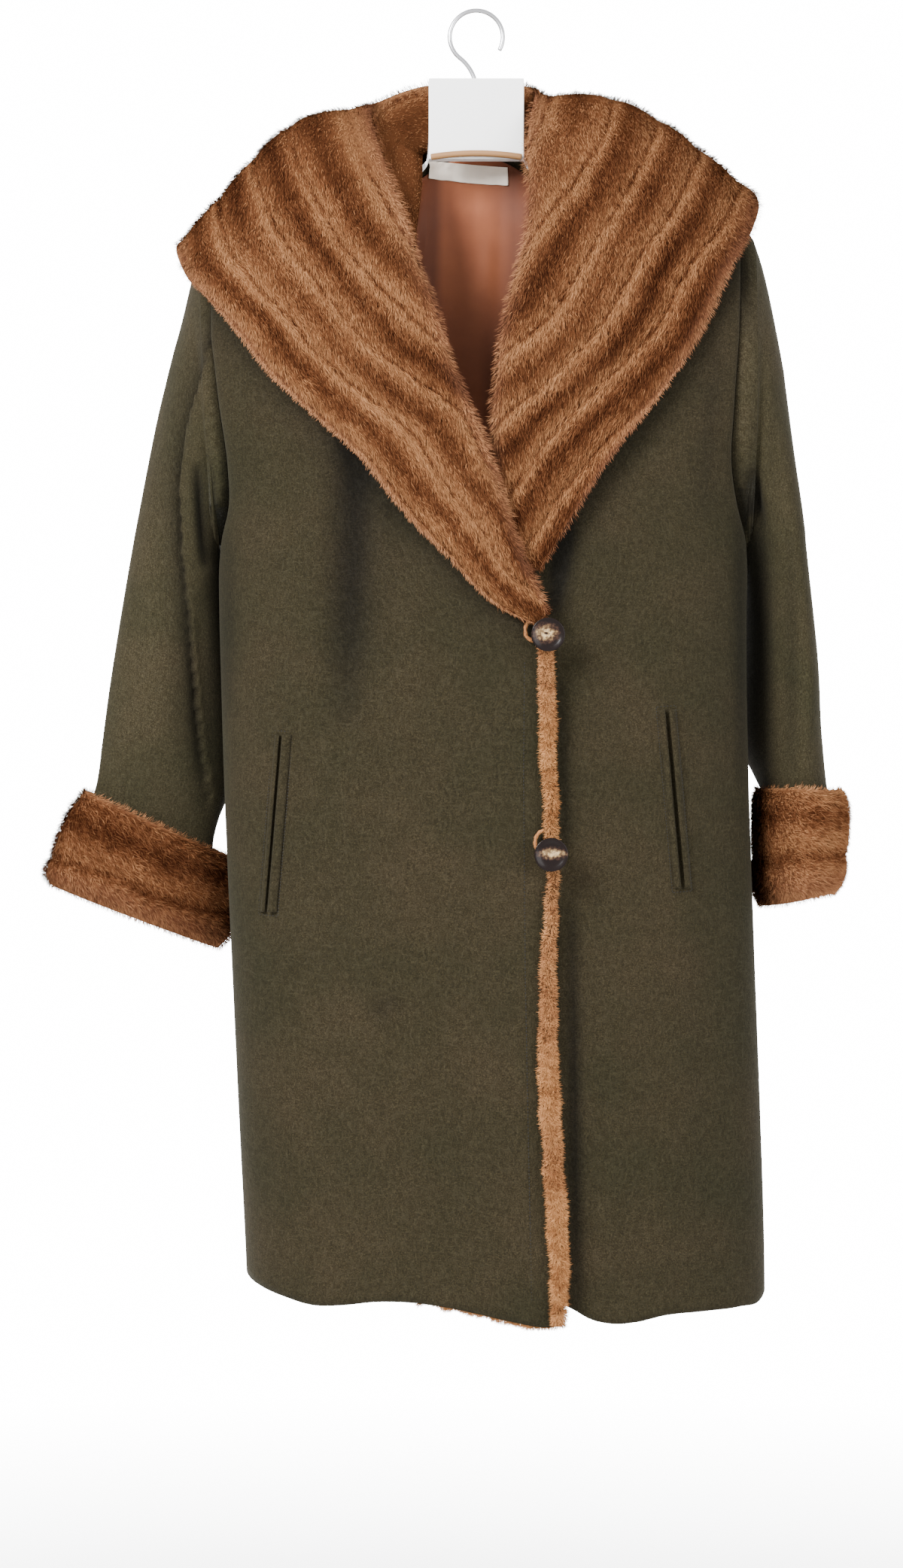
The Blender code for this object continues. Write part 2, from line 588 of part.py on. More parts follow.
def inside_back(x, z, depth):
    """Grid lying inside the back at the given depth under its outer surface, up to the neck."""
    x = np.broadcast_to(x, z.shape)
    top = neck_and_shoulder(x[0])
    chest_y = back_y(x, np.full_like(z, CHEST_Z))
    v = np.clip((z - CHEST_Z) / (top[:, 2] - CHEST_Z), 0, 1)
    over = top[:, 1] + (chest_y - top[:, 1]) * (1 - v**1.5) ** (1 / 1.3)
    grid = np.stack([x, np.where(z < CHEST_Z, back_y(x, z), over), z], axis=-1)
    return grid + grid_normals(grid, False) * depth


def make_hanger():
    """White hanger: two arms inside the shoulders joined by the tall plate seen in the neck."""
    turn = np.linspace(0, 2 * np.pi, 14, endpoint=False)
    half = HANGER.rows
    stations = [tuple(row) for row in half]
    stations += [
        (-45, -134, -151, -5, 9),
        (-43, PLATE_TOP - 8, PLATE_BOTTOM - 13, -5, 10),
        (-40.5, PLATE_TOP - 2, PLATE_BOTTOM - 4, -5, 10),
        (-38, PLATE_TOP, PLATE_BOTTOM + 1, -5, 10),
        (-14, PLATE_TOP, PLATE_BOTTOM + 3, -6, 10),
    ]
    stations += [(-row[0], *row[1:]) for row in reversed(stations)]
    rings = []
    for x, top, bottom, front, back in stations:
        cosine, sine = np.cos(turn), np.sin(turn)
        square = 0.5 if abs(x) < 44 else 0.85
        y = (front + back) / 2 + (back - front) / 2 * np.sign(cosine) * np.abs(cosine) ** square
        z = (top + bottom) / 2 + (top - bottom) / 2 * np.sign(sine) * np.abs(sine) ** square
        rings.append(np.stack([np.full_like(y, x), y, z], axis=-1))
    loft("hanger_body", np.stack(rings), HANGER_WHITE, 0.35)
    # Lower lip of the plate: a round ledge that curves up in the middle.
    across = np.linspace(-PLATE_HALF_WIDTH + 1, PLATE_HALF_WIDTH - 1, 12)
    arch = 3.4 * (1 - (across / PLATE_HALF_WIDTH) ** 2)
    cord(
        "hanger_lip",
        np.stack([across, np.full_like(across, -9.4), PLATE_BOTTOM + 1.0 + arch], axis=-1),
        2.9, 8, HANGER_WHITE, 0.4,
    )
    radius = HOOK_INNER_RADIUS + HOOK_WIRE_RADIUS
    angle = np.radians(np.linspace(-128, -128 - 262, 26))
    bow = radius * np.stack([np.cos(angle), np.zeros_like(angle), np.sin(angle)], axis=-1)
    bow[:, 2] -= HOOK_INNER_RADIUS
    stem = np.array([(0, 2.5, PLATE_TOP + GAP), (0, 2.2, -53.0), (-2.5, 1.4, -48.0), (-8.5, 0.6, -43.6)])
    cord("hanger_hook", np.concatenate([stem, bow]), HOOK_WIRE_RADIUS, 10, STEEL, 0.25)


def make_button(name, centre):
    """Dished button with a raised rim and a short shank side turned to the cloth."""
    profile = (
        (0.55, 0.0), (0.86, 0.5), (1.0, 2.2), (1.0, 3.4), (0.93, 5.0), (0.82, 5.4), (0.62, 4.5),
        (0.3, 4.0),
    )
    turn = np.linspace(0, 2 * np.pi, 24, endpoint=False)
    spokes = BUTTON_RADIUS * np.stack([np.cos(turn), np.zeros_like(turn), np.sin(turn)], axis=-1)
    rings = [np.array(centre) + spokes * r - np.array([0, h, 0]) for r, h in profile]
    loft(name, np.stack(rings), HORN_DARK, 0.2)


def clear_scene():
    for obj in list(bpy.data.objects):
        bpy.data.objects.remove(obj, do_unlink=True)


def main():
    clear_scene()
    for side, who in ((-1, "right"), (1, "left")):
        side_and_shoulder = (np.s_[:, -1:], np.s_[-1:, :])
        grid = front_grid(side, 15, 26, 9)
        wall(f"front_{who}", grid, CLOTH_WALL, side, OLIVE, 0.9, seams=side_and_shoulder)
        wall(f"sleeve_{who}", sleeve_grid(side, 19, 18), CLOTH_WALL, side, OLIVE, 0.9, wrap=True)
        thickness = CUFF_WALL * np.array([0.5, 0.85, 0.95, 0.95, 0.9, 0.85, 0.5])[:, None]
        wall(f"cuff_{who}", cuff_grid(side, 7, 24), thickness, side, FUR_BROWN, 0.8, wrap=True)
        for edge, place in ((-1, "outer" if side < 0 else "inner"), (1, "inner" if side < 0 else "outer")):
            grid = jet_grid(side, edge, 9)
            wall(f"pocket_{who}_jet_{place}", grid, JET_WALL * 0.8, 1, OLIVE_DARK, 0.9)
    seams = (np.s_[:, :1], np.s_[:, -1:], np.s_[-1:, :])
    wall("back", back_grid(22, 19, 9), CLOTH_WALL, -1, OLIVE, 0.9, seams=seams)
    thickness = collar_thickness(61, COLLAR_STEPS)
    wall("collar", collar_grid(61, COLLAR_STEPS), thickness, -1, FUR_BROWN, 0.8)
    outer, thickness = trim_grid(30, 6)
    wall("front_edge_trim", outer, thickness, 1, FUR_LIGHT, 0.8)
    x = np.linspace(-57, 48, 12)
    top = neck_and_shoulder(x)[:, 2] - 7
    v = np.linspace(1, 0, 14)[:, None]
    satin = inside_back(x, top + (-450 - top) * v, LINING_DEPTH)
    wall("lining_back", satin, SATIN_WALL, -1, SATIN_BROWN, 0.4)
    x = np.linspace(-48, 32, 9)
    z = np.array([-142.5, -134.0, -126.0])[:, None] - 0.075 * (x + 48)
    wall("neck_label", inside_back(x, z, LABEL_DEPTH), LABEL_WALL, -1, LABEL_CREAM, 0.6)
    make_hanger()
    for place, centre in BUTTONS.items():
        make_button(f"button_{place}", centre)
        path = np.array(LOOPS[place])
        knots = np.arange(len(path), dtype=float)
        t = np.linspace(0, len(path) - 1, 11)
        line = np.stack([smooth(t, knots, path[:, axis]) for axis in range(3)], axis=-1)
        cord(f"button_loop_{place}", line, LOOP_RADIUS, 8, FUR_LIGHT, 0.8)


main()
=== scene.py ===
"""Wool coat with a fur shawl collar on a hanger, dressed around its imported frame.

Tables and sizes are in millimetres and meshes in metres. +Z is up, the fronts face -Y, and the
origin is the inside of the hook's crown. Right and left in a piece's name are the wearer's.
"""

import logging
from collections.abc import Callable
from dataclasses import dataclass
from enum import Enum

import bpy
import numpy as np
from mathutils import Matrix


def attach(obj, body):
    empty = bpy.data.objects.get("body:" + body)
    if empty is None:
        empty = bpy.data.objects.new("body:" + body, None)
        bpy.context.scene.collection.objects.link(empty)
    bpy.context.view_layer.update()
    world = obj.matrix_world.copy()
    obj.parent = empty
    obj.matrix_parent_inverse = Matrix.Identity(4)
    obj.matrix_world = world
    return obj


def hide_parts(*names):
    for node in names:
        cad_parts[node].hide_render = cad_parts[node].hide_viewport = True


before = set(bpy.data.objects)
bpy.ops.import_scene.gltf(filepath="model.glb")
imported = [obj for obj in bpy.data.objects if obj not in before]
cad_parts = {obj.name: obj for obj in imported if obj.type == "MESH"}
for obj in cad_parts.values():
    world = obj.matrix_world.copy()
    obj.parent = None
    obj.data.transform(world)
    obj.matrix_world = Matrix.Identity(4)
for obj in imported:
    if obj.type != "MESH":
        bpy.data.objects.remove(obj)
log = logging.getLogger("coat")

Numbers = float | np.ndarray
Input = float | tuple | bpy.types.NodeSocket

MM = 0.001
GAP = 0.5
CLOTH_WALL = 2.6
NECK_POINT = np.array([66.0, 2.0, -148.0])
SHOULDER_TIP = {-1: np.array([-237.0, -1.0, -192.0]), 1: np.array([238.0, -1.0, -187.0])}
BACK_NECK_Z = -115.0
SEAM_Y = 4.0
HEM_NOMINAL = -1160.0
PLATE_TOP, PLATE_BOTTOM = -60.0, -133.0
SIDE_SEAM = {-1: "left", 1: "right"}


class Side(Enum):
    """The wearer's side of a paired piece; the value is the sign of X there."""

    RIGHT = -1
    LEFT = 1

    @property
    def word(self) -> str:
        """The side's name in a piece's name."""
        return self.name.lower()


class Place(Enum):
    """Which of the two buttons a piece belongs to."""

    UPPER = "upper"
    LOWER = "lower"


class Table:
    """Rows of numbers under named columns, read along the first column as smooth curves."""

    def __init__(self, names: str, *rows: tuple) -> None:
        """Args: names: the columns, parted by spaces. rows: one tuple of numbers for each row."""
        self.names = names.split()
        self.rows = np.array(rows, float)

    def at(self, where: Numbers, *names: str) -> np.ndarray | list:
        """Reads columns along the first one.

        Args: where: places on the first column. names: the columns wanted.
        Returns: one array for one name, else a list of arrays.
        """
        knots = self.rows[:, 0]
        found = [smooth(where, knots, self.rows[:, self.names.index(name)]) for name in names]
        return found[0] if len(found) == 1 else found

    def points(self, where: Numbers, stem: str) -> np.ndarray:
        """The columns stem_x, stem_y and stem_z as points."""
        return np.stack(self.at(where, stem + "_x", stem + "_y", stem + "_z"), axis=-1)


def smooth(where: Numbers, knots: np.ndarray, values: np.ndarray) -> np.ndarray:
    """Reads a cubic curve through (knots, values).

    Args: where: places to read. knots: rising places of the values. values: one for each knot.
    Returns: the curve at each place, held at its ends.
    """
    where = np.clip(np.asarray(where, float), knots[0], knots[-1])
    slopes = np.gradient(values, knots, axis=0)
    row = np.clip(np.searchsorted(knots, where, side="right") - 1, 0, len(knots) - 2)
    span = knots[row + 1] - knots[row]
    s = (where - knots[row]) / span
    for _ in range(values.ndim - 1):
        s, span = s[..., None], span[..., None]
    return (
        (1 + 2 * s) * (1 - s) ** 2 * values[row]
        + s * (1 - s) ** 2 * span * slopes[row]
        + s * s * (3 - 2 * s) * values[row + 1]
        + s * s * (s - 1) * span * slopes[row + 1]
    )


# Trunk at each height: side seams or armholes, depth of the fronts and the back, armhole's reach.
BODY = Table(
    "z left right over under back arm_front arm_back",
    (-1180, -205.5, 260.5, 122, 111, 79, SEAM_Y, SEAM_Y),
    (-1120, -208, 260, 120, 109, 78, SEAM_Y, SEAM_Y),
    (-1000, -214, 256.5, 117, 107.5, 77, SEAM_Y, SEAM_Y),
    (-850, -221, 251, 113, 105, 76, SEAM_Y, SEAM_Y),
    (-700, -227.5, 246, 111, 103, 75, SEAM_Y, SEAM_Y),
    (-600, -230.5, 244, 110, 100, 74, SEAM_Y, SEAM_Y),
    (-540, -232, 244, 109, 95, 73, SEAM_Y, SEAM_Y),
    (-500, -232, 244.5, 107, 91, 72, 3, 5),
    (-476, -229, 242, 105, 89, 71, -8, 12),
    (-450, -222, 234, 103, 87, 70, -27, 23),
    (-415, -222, 227.5, 100, 84.5, 68, -43, 33),
    (-360, -229, 229, 95, 81, 66, -55, 40),
    (-300, -236, 233, 88, 78, 63, -58, 42),
)

# Free edge of each front against the height.
FREE_EDGE = {
    -1: Table(
        "z x",
        (-1180, 74), (-1075, 73), (-1020, 70), (-970, 67), (-900, 65), (-810, 65), (-740, 65),
        (-640, 63), (-570, 60), (-545, 48), (-520, 33), (-490, 19), (-450, 5), (-400, -14),
        (-350, -32), (-300, -53),
    ),
    1: Table(
        "z x",
        (-1180, 26), (-900, 26), (-620, 26), (-545, 32), (-510, 50), (-470, 38), (-430, 31),
        (-390, 27), (-345, 29), (-300, 36),
    ),
}

# Height of the hem across each front.
HEM = {
    -1: Table(
        "x z",
        (-210, -1131), (-203, -1137), (-190, -1143), (-170, -1149), (-145, -1154.5),
        (-120, -1153.5), (-88, -1149.5), (-60, -1149.5), (-30, -1153), (0, -1159), (30, -1166),
        (60, -1171), (74, -1170),
    ),
    1: Table(
        "x z",
        (26, -1152), (80, -1155), (100, -1166), (118, -1170), (140, -1169), (165, -1164),
        (200, -1162), (235, -1160.5), (254, -1158), (262, -1150),
    ),
}

# Creases: two ends on the front view, half width and depth. The first group is also in the solids.
CREASES = (
    (-128, -395, -133, -660, 26, 6.0),
    (-86, -520, -78, -640, 22, 2.5),
    (-196, -470, -186, -620, 20, 3.0),
    (-60, -900, -88, -960, 16, 2.6),
    (-150, -760, -140, -1120, 34, 3.0),
    (-12, -700, -16, -1130, 30, 2.4),
    (206, -300, 192, -470, 16, 4.0),
    (140, -480, 128, -800, 34, 3.2),
    (100, -620, 104, -1100, 22, 2.8),
    (214, -640, 222, -1120, 26, 2.6),
)
FINE_CREASES = (
    (-100, -360, -112, -640, 15, 6.5),
    (-136, -380, -146, -640, 16, -4.5),
    (-70, -400, -74, -600, 18, 2.0),
    (-70, -872, -96, -890, 7, 1.3),
    (-52, -884, -80, -905, 8, -1.2),
    (-160, -420, -150, -520, 9, 1.0),
    (-205, -400, -178, -455, 8, 1.2),
    (-30, -560, -44, -700, 14, 0.9),
    (6, -640, -2, -860, 12, 0.8),
    (30, -820, 34, -1100, 12, 0.9),
    (-100, -1010, -84, -1140, 14, 1.0),
    (-190, -900, -184, -1120, 12, 0.9),
    (216, -345, 206, -430, 7, 1.6),
    (176, -360, 160, -520, 10, 1.2),
    (88, -520, 78, -640, 10, 1.2),
    (196, -820, 204, -1080, 12, 1.0),
    (150, -880, 146, -1140, 14, 1.1),
    (86, -760, 82, -1000, 8, 1.4),
)
BACK_CREASES = (
    (-96, -420, -108, -1000, 34, 4.0),
    (70, -460, 84, -1110, 40, 4.5),
    (168, -380, 158, -760, 26, 3.0),
    (-170, -620, -160, -1120, 30, 3.0),
)
FINE_BACK_CREASES = (
    (-60, -330, -84, -520, 12, 1.4),
    (-140, -300, -150, -480, 10, 1.2),
    (20, -520, 6, -980, 16, 1.6),
    (-40, -760, -52, -1130, 14, 1.4),
    (120, -300, 104, -420, 10, 1.1),
    (196, -420, 186, -640, 11, 1.3),
    (130, -820, 142, -1130, 15, 1.5),
    (-196, -430, -184, -600, 9, 1.2),
)
# The edge of the fold that runs down the front of the right sleeve, and the collar's two edges; painted
# shade lies beside the first and in a band along the others on the fronts.
SLEEVE_FOLD = (
    (-226, -262), (-233, -297), (-244, -328), (-258, -368), (-266, -417), (-266, -449),
    (-263, -491), (-256, -550), (-254, -569), (-241, -709),
)
COLLAR_EDGES = (
    ((-253, -254), (-231, -279), (-207, -309), (-151, -370), (-106, -411), (-66, -462), (-27, -501),
     (14, -542), (50, -561)),
    ((241, -218), (203, -295), (157, -365), (126, -402), (103, -435), (87, -461), (71, -487)),
)
# Shade that gathers in folds and beside the closing edge: as creases, with a share for depth.
SHADES = (
    (-108, -340, -115, -650, 17, 0.62),
    (-106, -380, -100, -600, 38, 0.26),
    (-66, -884, -96, -900, 9, 0.30),
    (84, -800, 87, -1165, 6, 0.75),
    (74, -600, 78, -760, 5, 0.45),
    (214, -300, 200, -470, 12, 0.35),
    (67, -552, 80, -462, 10, 1.10),
    (-222, -470, -224, -640, 9, 0.40),
    (236, -450, 238, -700, 8, 0.55),
)
SLEEVE_SHADES = {
    -1: ((-249, -412, -241, -500, 6, 0.9), (-240, -480, -234, -700, 7, 0.4)),
    1: (
        (238, -212, 240, -300, 8, 0.80),
        (245, -412, 248, -458, 8, 0.95),
        (252, -440, 253, -704, 9, 1.0),
        (281, -470, 283, -690, 6, 0.30),
    ),
}
# Folds of the sleeves, by side and then whether they lie on the front or the back of the arm.
SLEEVE_CREASES = {
    (-1, -1): (
        (-249, -410, -240, -505, 6, 7.0),
        (-252, -300, -268, -410, 9, 2.6),
        (-249, -525, -241, -690, 9, 4.5),
        (-283, -330, -292, -470, 16, 2.2),
        (-300, -520, -318, -650, 12, 1.8),
        (-268, -560, -262, -680, 10, 1.6),
        (-322, -600, -340, -690, 8, 1.2),
        (-262, -235, -275, -300, 8, 1.4),
    ),
    (-1, 1): (
        (-262, -330, -276, -480, 12, 2.4),
        (-300, -420, -316, -560, 14, 2.6),
        (-262, -560, -280, -680, 10, 2.2),
        (-330, -580, -344, -680, 9, 1.4),
    ),
    (1, -1): (
        (247, -425, 254, -470, 6, 6.5),
        (248, -225, 243, -300, 7, 3.2),
        (259, -470, 259, -690, 7, 3.0),
        (276, -330, 281, -480, 13, 1.8),
        (291, -470, 290, -640, 12, 1.9),
        (272, -560, 275, -690, 9, 1.2),
        (302, -610, 305, -690, 8, 1.0),
        (262, -380, 270, -450, 6, 1.6),
    ),
    (1, 1): (
        (262, -320, 270, -470, 12, 2.2),
        (287, -400, 292, -580, 14, 2.6),
        (268, -560, 276, -680, 10, 2.0),
        (300, -600, 306, -690, 9, 1.4),
    ),
}

RING_COLUMNS = "s outer_x outer_y outer_z inner_x inner_y inner_z front back lean"
SLEEVE = {
    -1: Table(
        RING_COLUMNS,
        (1, -248, 2, -207, -239, 6, -484, 59, 46, 0),
        (2, -257, 4, -238, -239, 8, -492, 59, 50, 0),
        (3, -267, 5, -279, -238, 12, -504, 58, 53, 0),
        (4, -278, 6, -320, -237, 16, -520, 56, 55, 3),
        (5, -288.5, 7, -362, -235, 20, -540, 54, 56, 6),
        (6, -298, 8, -408, -233, 24, -562, 53, 56, 8),
        (7, -307, 9, -455, -231, 26, -587, 52, 55, 9),
        (8, -316, 10, -505, -230, 28, -614, 50, 54, 9),
        (9, -325, 11, -558, -229, 29, -642, 47, 52, 8),
        (10, -333.5, 12, -612, -227.5, 30, -673, 43, 48, 6),
        (11, -340, 13, -660, -228, 31, -706, 33, 38, 4),
        (12, -346, 15, -700, -239, 33, -748, 20, 23, 2),
        (13, -361, 17, -738, -241, 35, -792, 15, 18, 0),
        (14, -375, 17, -774, -249, 35, -830, 12, 14, 0),
    ),
    1: Table(
        RING_COLUMNS,
        (1, 250.5, 2, -206, 250, 6, -478, 58, 46, 0),
        (2, 260, 4, -234, 251, 10, -486, 58, 52, 0),
        (3, 269.5, 8, -274, 252, 15, -498, 60, 56, 2),
        (4, 278, 12, -318, 252.5, 22, -512, 61, 59, 4),
        (5, 284.5, 14, -362, 252, 29, -530, 62, 61, 7),
        (6, 290.5, 16, -405, 251, 35, -552, 63, 62, 9),
        (7, 296.5, 18, -448, 250, 40, -578, 64, 62, 10),
        (8, 301.5, 19, -492, 249, 43, -606, 64, 61, 10),
        (9, 306.5, 20, -540, 249, 45, -636, 64, 60, 10),
        (10, 311, 21, -592, 250, 46, -666, 63, 59, 9),
        (11, 314, 23, -645, 256, 40, -688, 58, 54, 5),
        (12, 318, 24, -690, 265, 36, -720, 52, 50, 2),
        (13, 323, 26, -735, 267, 34, -756, 50, 49, 0),
        (14, 313, 26, -778, 268, 34, -792, 45, 46, 0),
    ),
}
CUFF = {
    -1: Table(
        RING_COLUMNS,
        (0, -355, 14, -699, -226, 40, -759, 32, 30, 0),
        (1, -364, 13, -706, -219, 41, -766, 36, 34, 0),
        (2, -377, 12, -727, -216, 42, -788, 38, 37, 0),
        (3, -388, 12, -756, -217, 42, -815, 38, 37, 0),
        (4, -395, 12, -778, -222, 42, -838, 36, 34, 0),
        (5, -387, 13, -792, -236, 41, -851, 28, 26, 0),
    ),
    1: Table(
        RING_COLUMNS,
        (0, 332, 22, -699, 253, 31, -699, 66, 65, 0),
        (1, 339, 21, -708, 250.5, 32, -705, 69, 69, 0),
        (2, 341.5, 20, -726, 249, 33, -725, 72, 71, 0),
        (3, 340, 20, -752, 249, 33, -758, 72, 71, 0),
        (4, 336, 20, -783, 250, 33, -792, 69, 69, 0),
        (5, 325, 21, -799, 259, 32, -812, 60, 61, 0),
    ),
}

# Collar sections from the right front's lower tip round the neck to the left front's: neck seam,
# roll line, outer edge, rise of the fall between them and radius of the roll.
COLLAR = Table(
    "s seam_x seam_y seam_z roll_x roll_y roll_z edge_x edge_y edge_z rise bend",
    (0, 58, -110, -549, 62, -119, -551, 50, -119, -559.5, 0, 3.5),
    (1, 49, -108, -527, 56, -119, -528, 33, -120, -553, 1.5, 5),
    (2, 38, -106, -505, 45, -119, -507, 14, -120, -542, 3, 6),
    (3, 29, -105, -484, 37, -118, -486, -6, -120, -524, 4, 6.5),
    (4, 21, -103, -459, 29, -117, -461, -27, -118, -501, 5, 6.5),
    (5, 4, -99, -405, 12, -114, -407, -66, -115, -462, 6, 6.5),
    (6, -13, -96, -362, -5, -111, -364, -106, -109, -411, 7, 6.5),
    (7, -29, -92, -324, -21, -107, -326, -151, -102, -370, 8, 6.5),
    (8, -38, -88, -293, -30, -103, -295, -186, -95, -337, 8, 6.5),
    (9, -48, -82, -262, -40, -98, -264, -207, -89, -309, 8, 6.5),
    (10, -54, -72, -238, -50, -90, -238, -231, -79, -279, 9, 7),
    (11, -54, -60, -215, -59, -78, -203, -253, -62, -254, 12, 7.5),
    (12, -51, -44, -192, -71, -62, -167, -266, -44, -239, 18, 8),
    (13, -48, -18, -157, -84, -40, -130, -275, -12, -215, 26, 8.5),
    (14, -48, -1, -134, -94, 4, -88, -270, 25, -204, 30, 9),
    (15, -46, 25, -121, -86, 36, -71, -246, 54, -215, 25, 9),
    (16, -37, 38, -117, -57, 55, -56, -184, 72, -236, 18, 9),
    (17, -20, 44, -115, -28, 63, -51, -92, 80, -246, 15, 9),
    (18, 0, 46, -112, 0, 65, -50, 2, 82, -248, 14, 9),
    (19, 20, 44, -114, 26, 61, -52, 94, 80, -244, 15, 9),
    (20, 37, 38, -118, 41, 47, -55, 182, 72, -226, 19, 9),
    (21, 46, 26, -122, 50, 27, -61, 232, 56, -190, 26, 9),
    (22, 51, 0, -134, 52, 8, -70, 252, 30, -158, 30, 9),
    (23, 51, -18, -156, 47, -18, -96, 259, -8, -174, 26, 8.5),
    (24, 51, -34, -184, 43, -42, -131, 251, -38, -200, 19, 8),
    (25, 51, -48, -203, 45, -62, -169, 241, -58, -218, 13, 7.5),
    (26, 48, -60, -222, 42, -79, -209, 228, -73, -240, 10, 7),
    (27, 34, -74, -263, 28, -90, -262, 203, -85, -295, 8, 6.5),
    (28, 28, -79, -295, 21, -94, -294, 183, -89, -328, 8, 6.5),
    (29, 24, -82, -331, 16, -96, -330, 157, -94, -365, 7, 6),
    (30, 20, -84, -376, 12, -98, -374, 126, -98, -402, 6, 6),
    (31, 21, -87, -421, 14, -101, -419, 103, -101, -435, 5, 6),
    (32, 29, -89, -467, 22, -103, -465, 87, -103, -461, 4, 6),
    (33, 40, -91, -490, 33, -104, -488, 71, -105, -487, 2, 5),
    (34, 49, -94, -509, 45, -105, -507, 57, -105, -510, 0, 3.5),
)

TRIM = Table(
    "z left right",
    (-1169, 61.5, 79), (-1128, 61, 80.4), (-1075, 57, 79.8), (-1023, 53.6, 76.5),
    (-970, 50.5, 73.8), (-918, 50.3, 72), (-866, 51.6, 70.6), (-814, 56.8, 71.2),
    (-776, 59.6, 71.4), (-736, 57.5, 71.3), (-683, 54.4, 69.8), (-630, 51.4, 69.8),
    (-584, 51.8, 68.8), (-569, 52.5, 68.5),
)
POCKET_LINE = {-1: ((-171.3, -653.5), (-184.5, -810.0)), 1: ((167.0, -631.5), (181.0, -789.0))}
BUTTON_CENTRE = {Place.UPPER: (61.6, -125.3, -567.0), Place.LOWER: (64.3, -126.4, -758.5)}
LOOP_PATH = {
    Place.UPPER: (
        (49.0, -112.6, -554), (44.4, -113.6, -555.5), (42.2, -113.8, -561), (43.2, -113.6, -568),
        (48, -113.0, -572),
    ),
    Place.LOWER: (
        (59.0, -114.6, -737), (54.2, -115.2, -739.5), (51.2, -115.2, -744.5), (51.0, -115, -751),
        (54, -114.6, -757),
    ),
}
# Sections of the hanger's arms out from the plate: x, top and bottom z, front and back y.
HANGER_ARM = (
    (45, -133, -139, 5, 10),
    (50, -137, -143, 7, 12),
    (56, -145, -153, 8, 13),
    (66, -163, -178, 0, 12),
    (90, -173, -197, -10, 12),
    (150, -188, -209, -10, 12),
    (191, -198, -214, -8, 10),
    (198, -202, -210, -3, 7),
)


# ---------------------------------------------------------------- shared geometry


def unit(vectors: np.ndarray) -> np.ndarray:
    """The vectors, each made one long."""
    return vectors / np.maximum(np.linalg.norm(vectors, axis=-1, keepdims=True), 1e-12)


def hump(value: Numbers, middle: Numbers, width: float) -> np.ndarray:
    """A smooth hump, one at its middle. Args: value: places. middle, width: of the hump."""
    return np.exp(-(((value - middle) / width) ** 2))


def climb(value: Numbers, start: Numbers, reach: Numbers) -> np.ndarray:
    """A ramp from nought at its start to one after its reach, which is downwards if negative."""
    return np.clip((value - start) / reach, 0, 1)


def round_over(v: np.ndarray) -> np.ndarray:
    """How much of the depth at the chest line is left at the share v of the way to a top edge."""
    return (1 - v**1.5) ** (1 / 1.3)


def along_line(x: Numbers, z: Numbers, x0: float, z0: float, x1: float, z1: float) -> np.ndarray:
    """Share of the way from (x0, z0) to (x1, z1) at which each place is nearest to that line."""
    length2 = (x1 - x0) ** 2 + (z1 - z0) ** 2
    return np.clip(((x - x0) * (x1 - x0) + (z - z0) * (z1 - z0)) / length2, 0, 1)


def grid_normals(points: np.ndarray, wrap: bool) -> np.ndarray:
    """Finds unit normals of a grid, as its column direction crossed with its row direction.

    Args: points: rows by columns of points. wrap: whether the columns close on themselves.
    Returns: one unit normal for each point.
    """
    if wrap:
        across = np.roll(points, -1, axis=1) - np.roll(points, 1, axis=1)
    else:
        across = np.gradient(points, axis=1)
    return unit(np.cross(across, np.gradient(points, axis=0)))


def mottle(u: Numbers, v: Numbers, seed: int, size: float) -> np.ndarray:
    """Smooth uneven values about nought, of the given patch size.

    Args: u, v: places on a surface. seed: which pattern. size: patch size, in the places' unit.
    Returns: one value for each place, mostly between -1 and 1.
    """
    table = np.random.default_rng(seed).uniform(-1, 1, (64, 64))
    u, v = np.broadcast_arrays(np.asarray(u, float) / size, np.asarray(v, float) / size)
    column, row = np.floor(u).astype(int), np.floor(v).astype(int)
    a, b = u - column, v - row
    a, b = a * a * (3 - 2 * a), b * b * (3 - 2 * b)
    corner = [table[(row + i) % 64, (column + j) % 64] for i in (0, 1) for j in (0, 1)]
    low = corner[0] * (1 - a) + corner[1] * a
    return low * (1 - b) + (corner[2] * (1 - a) + corner[3] * a) * b


def crease_depth(x: Numbers, z: Numbers, creases: tuple) -> np.ndarray:
    """How far the creases push the cloth in at each place of the front view.

    Args: x, z: places. creases: two ends, half width and depth of each.
    Returns: depth in millimetres.
    """
    depth = np.zeros(np.broadcast(x, z).shape)
    for x0, z0, x1, z1, width, deep in creases:
        along = along_line(x, z, x0, z0, x1, z1)
        length = np.sqrt((x1 - x0) ** 2 + (z1 - z0) ** 2)
        aside = ((x - x0) * (z1 - z0) - (z - z0) * (x1 - x0)) / length
        depth += deep * hump(aside, 0.0, width) * np.sqrt(4 * along * (1 - along))
    return depth


def line_distance(x: Numbers, z: Numbers, line: tuple) -> np.ndarray:
    """Signed distance to a broken line on the front view, positive on its +X side going down.

    Args: x, z: places. line: the line's (x, z) points, from the top down.
    Returns: distance in millimetres.
    """
    best = np.full(np.broadcast(x, z).shape, 1e6)
    for (x0, z0), (x1, z1) in zip(line, line[1:]):
        along = along_line(x, z, x0, z0, x1, z1)
        away = np.hypot(x - x0 - along * (x1 - x0), z - z0 - along * (z1 - z0))
        side = np.where((x1 - x0) * (z - z0) > (z1 - z0) * (x - x0), 1.0, -1.0)
        best = np.where(away < np.abs(best), away * side, best)
    return best


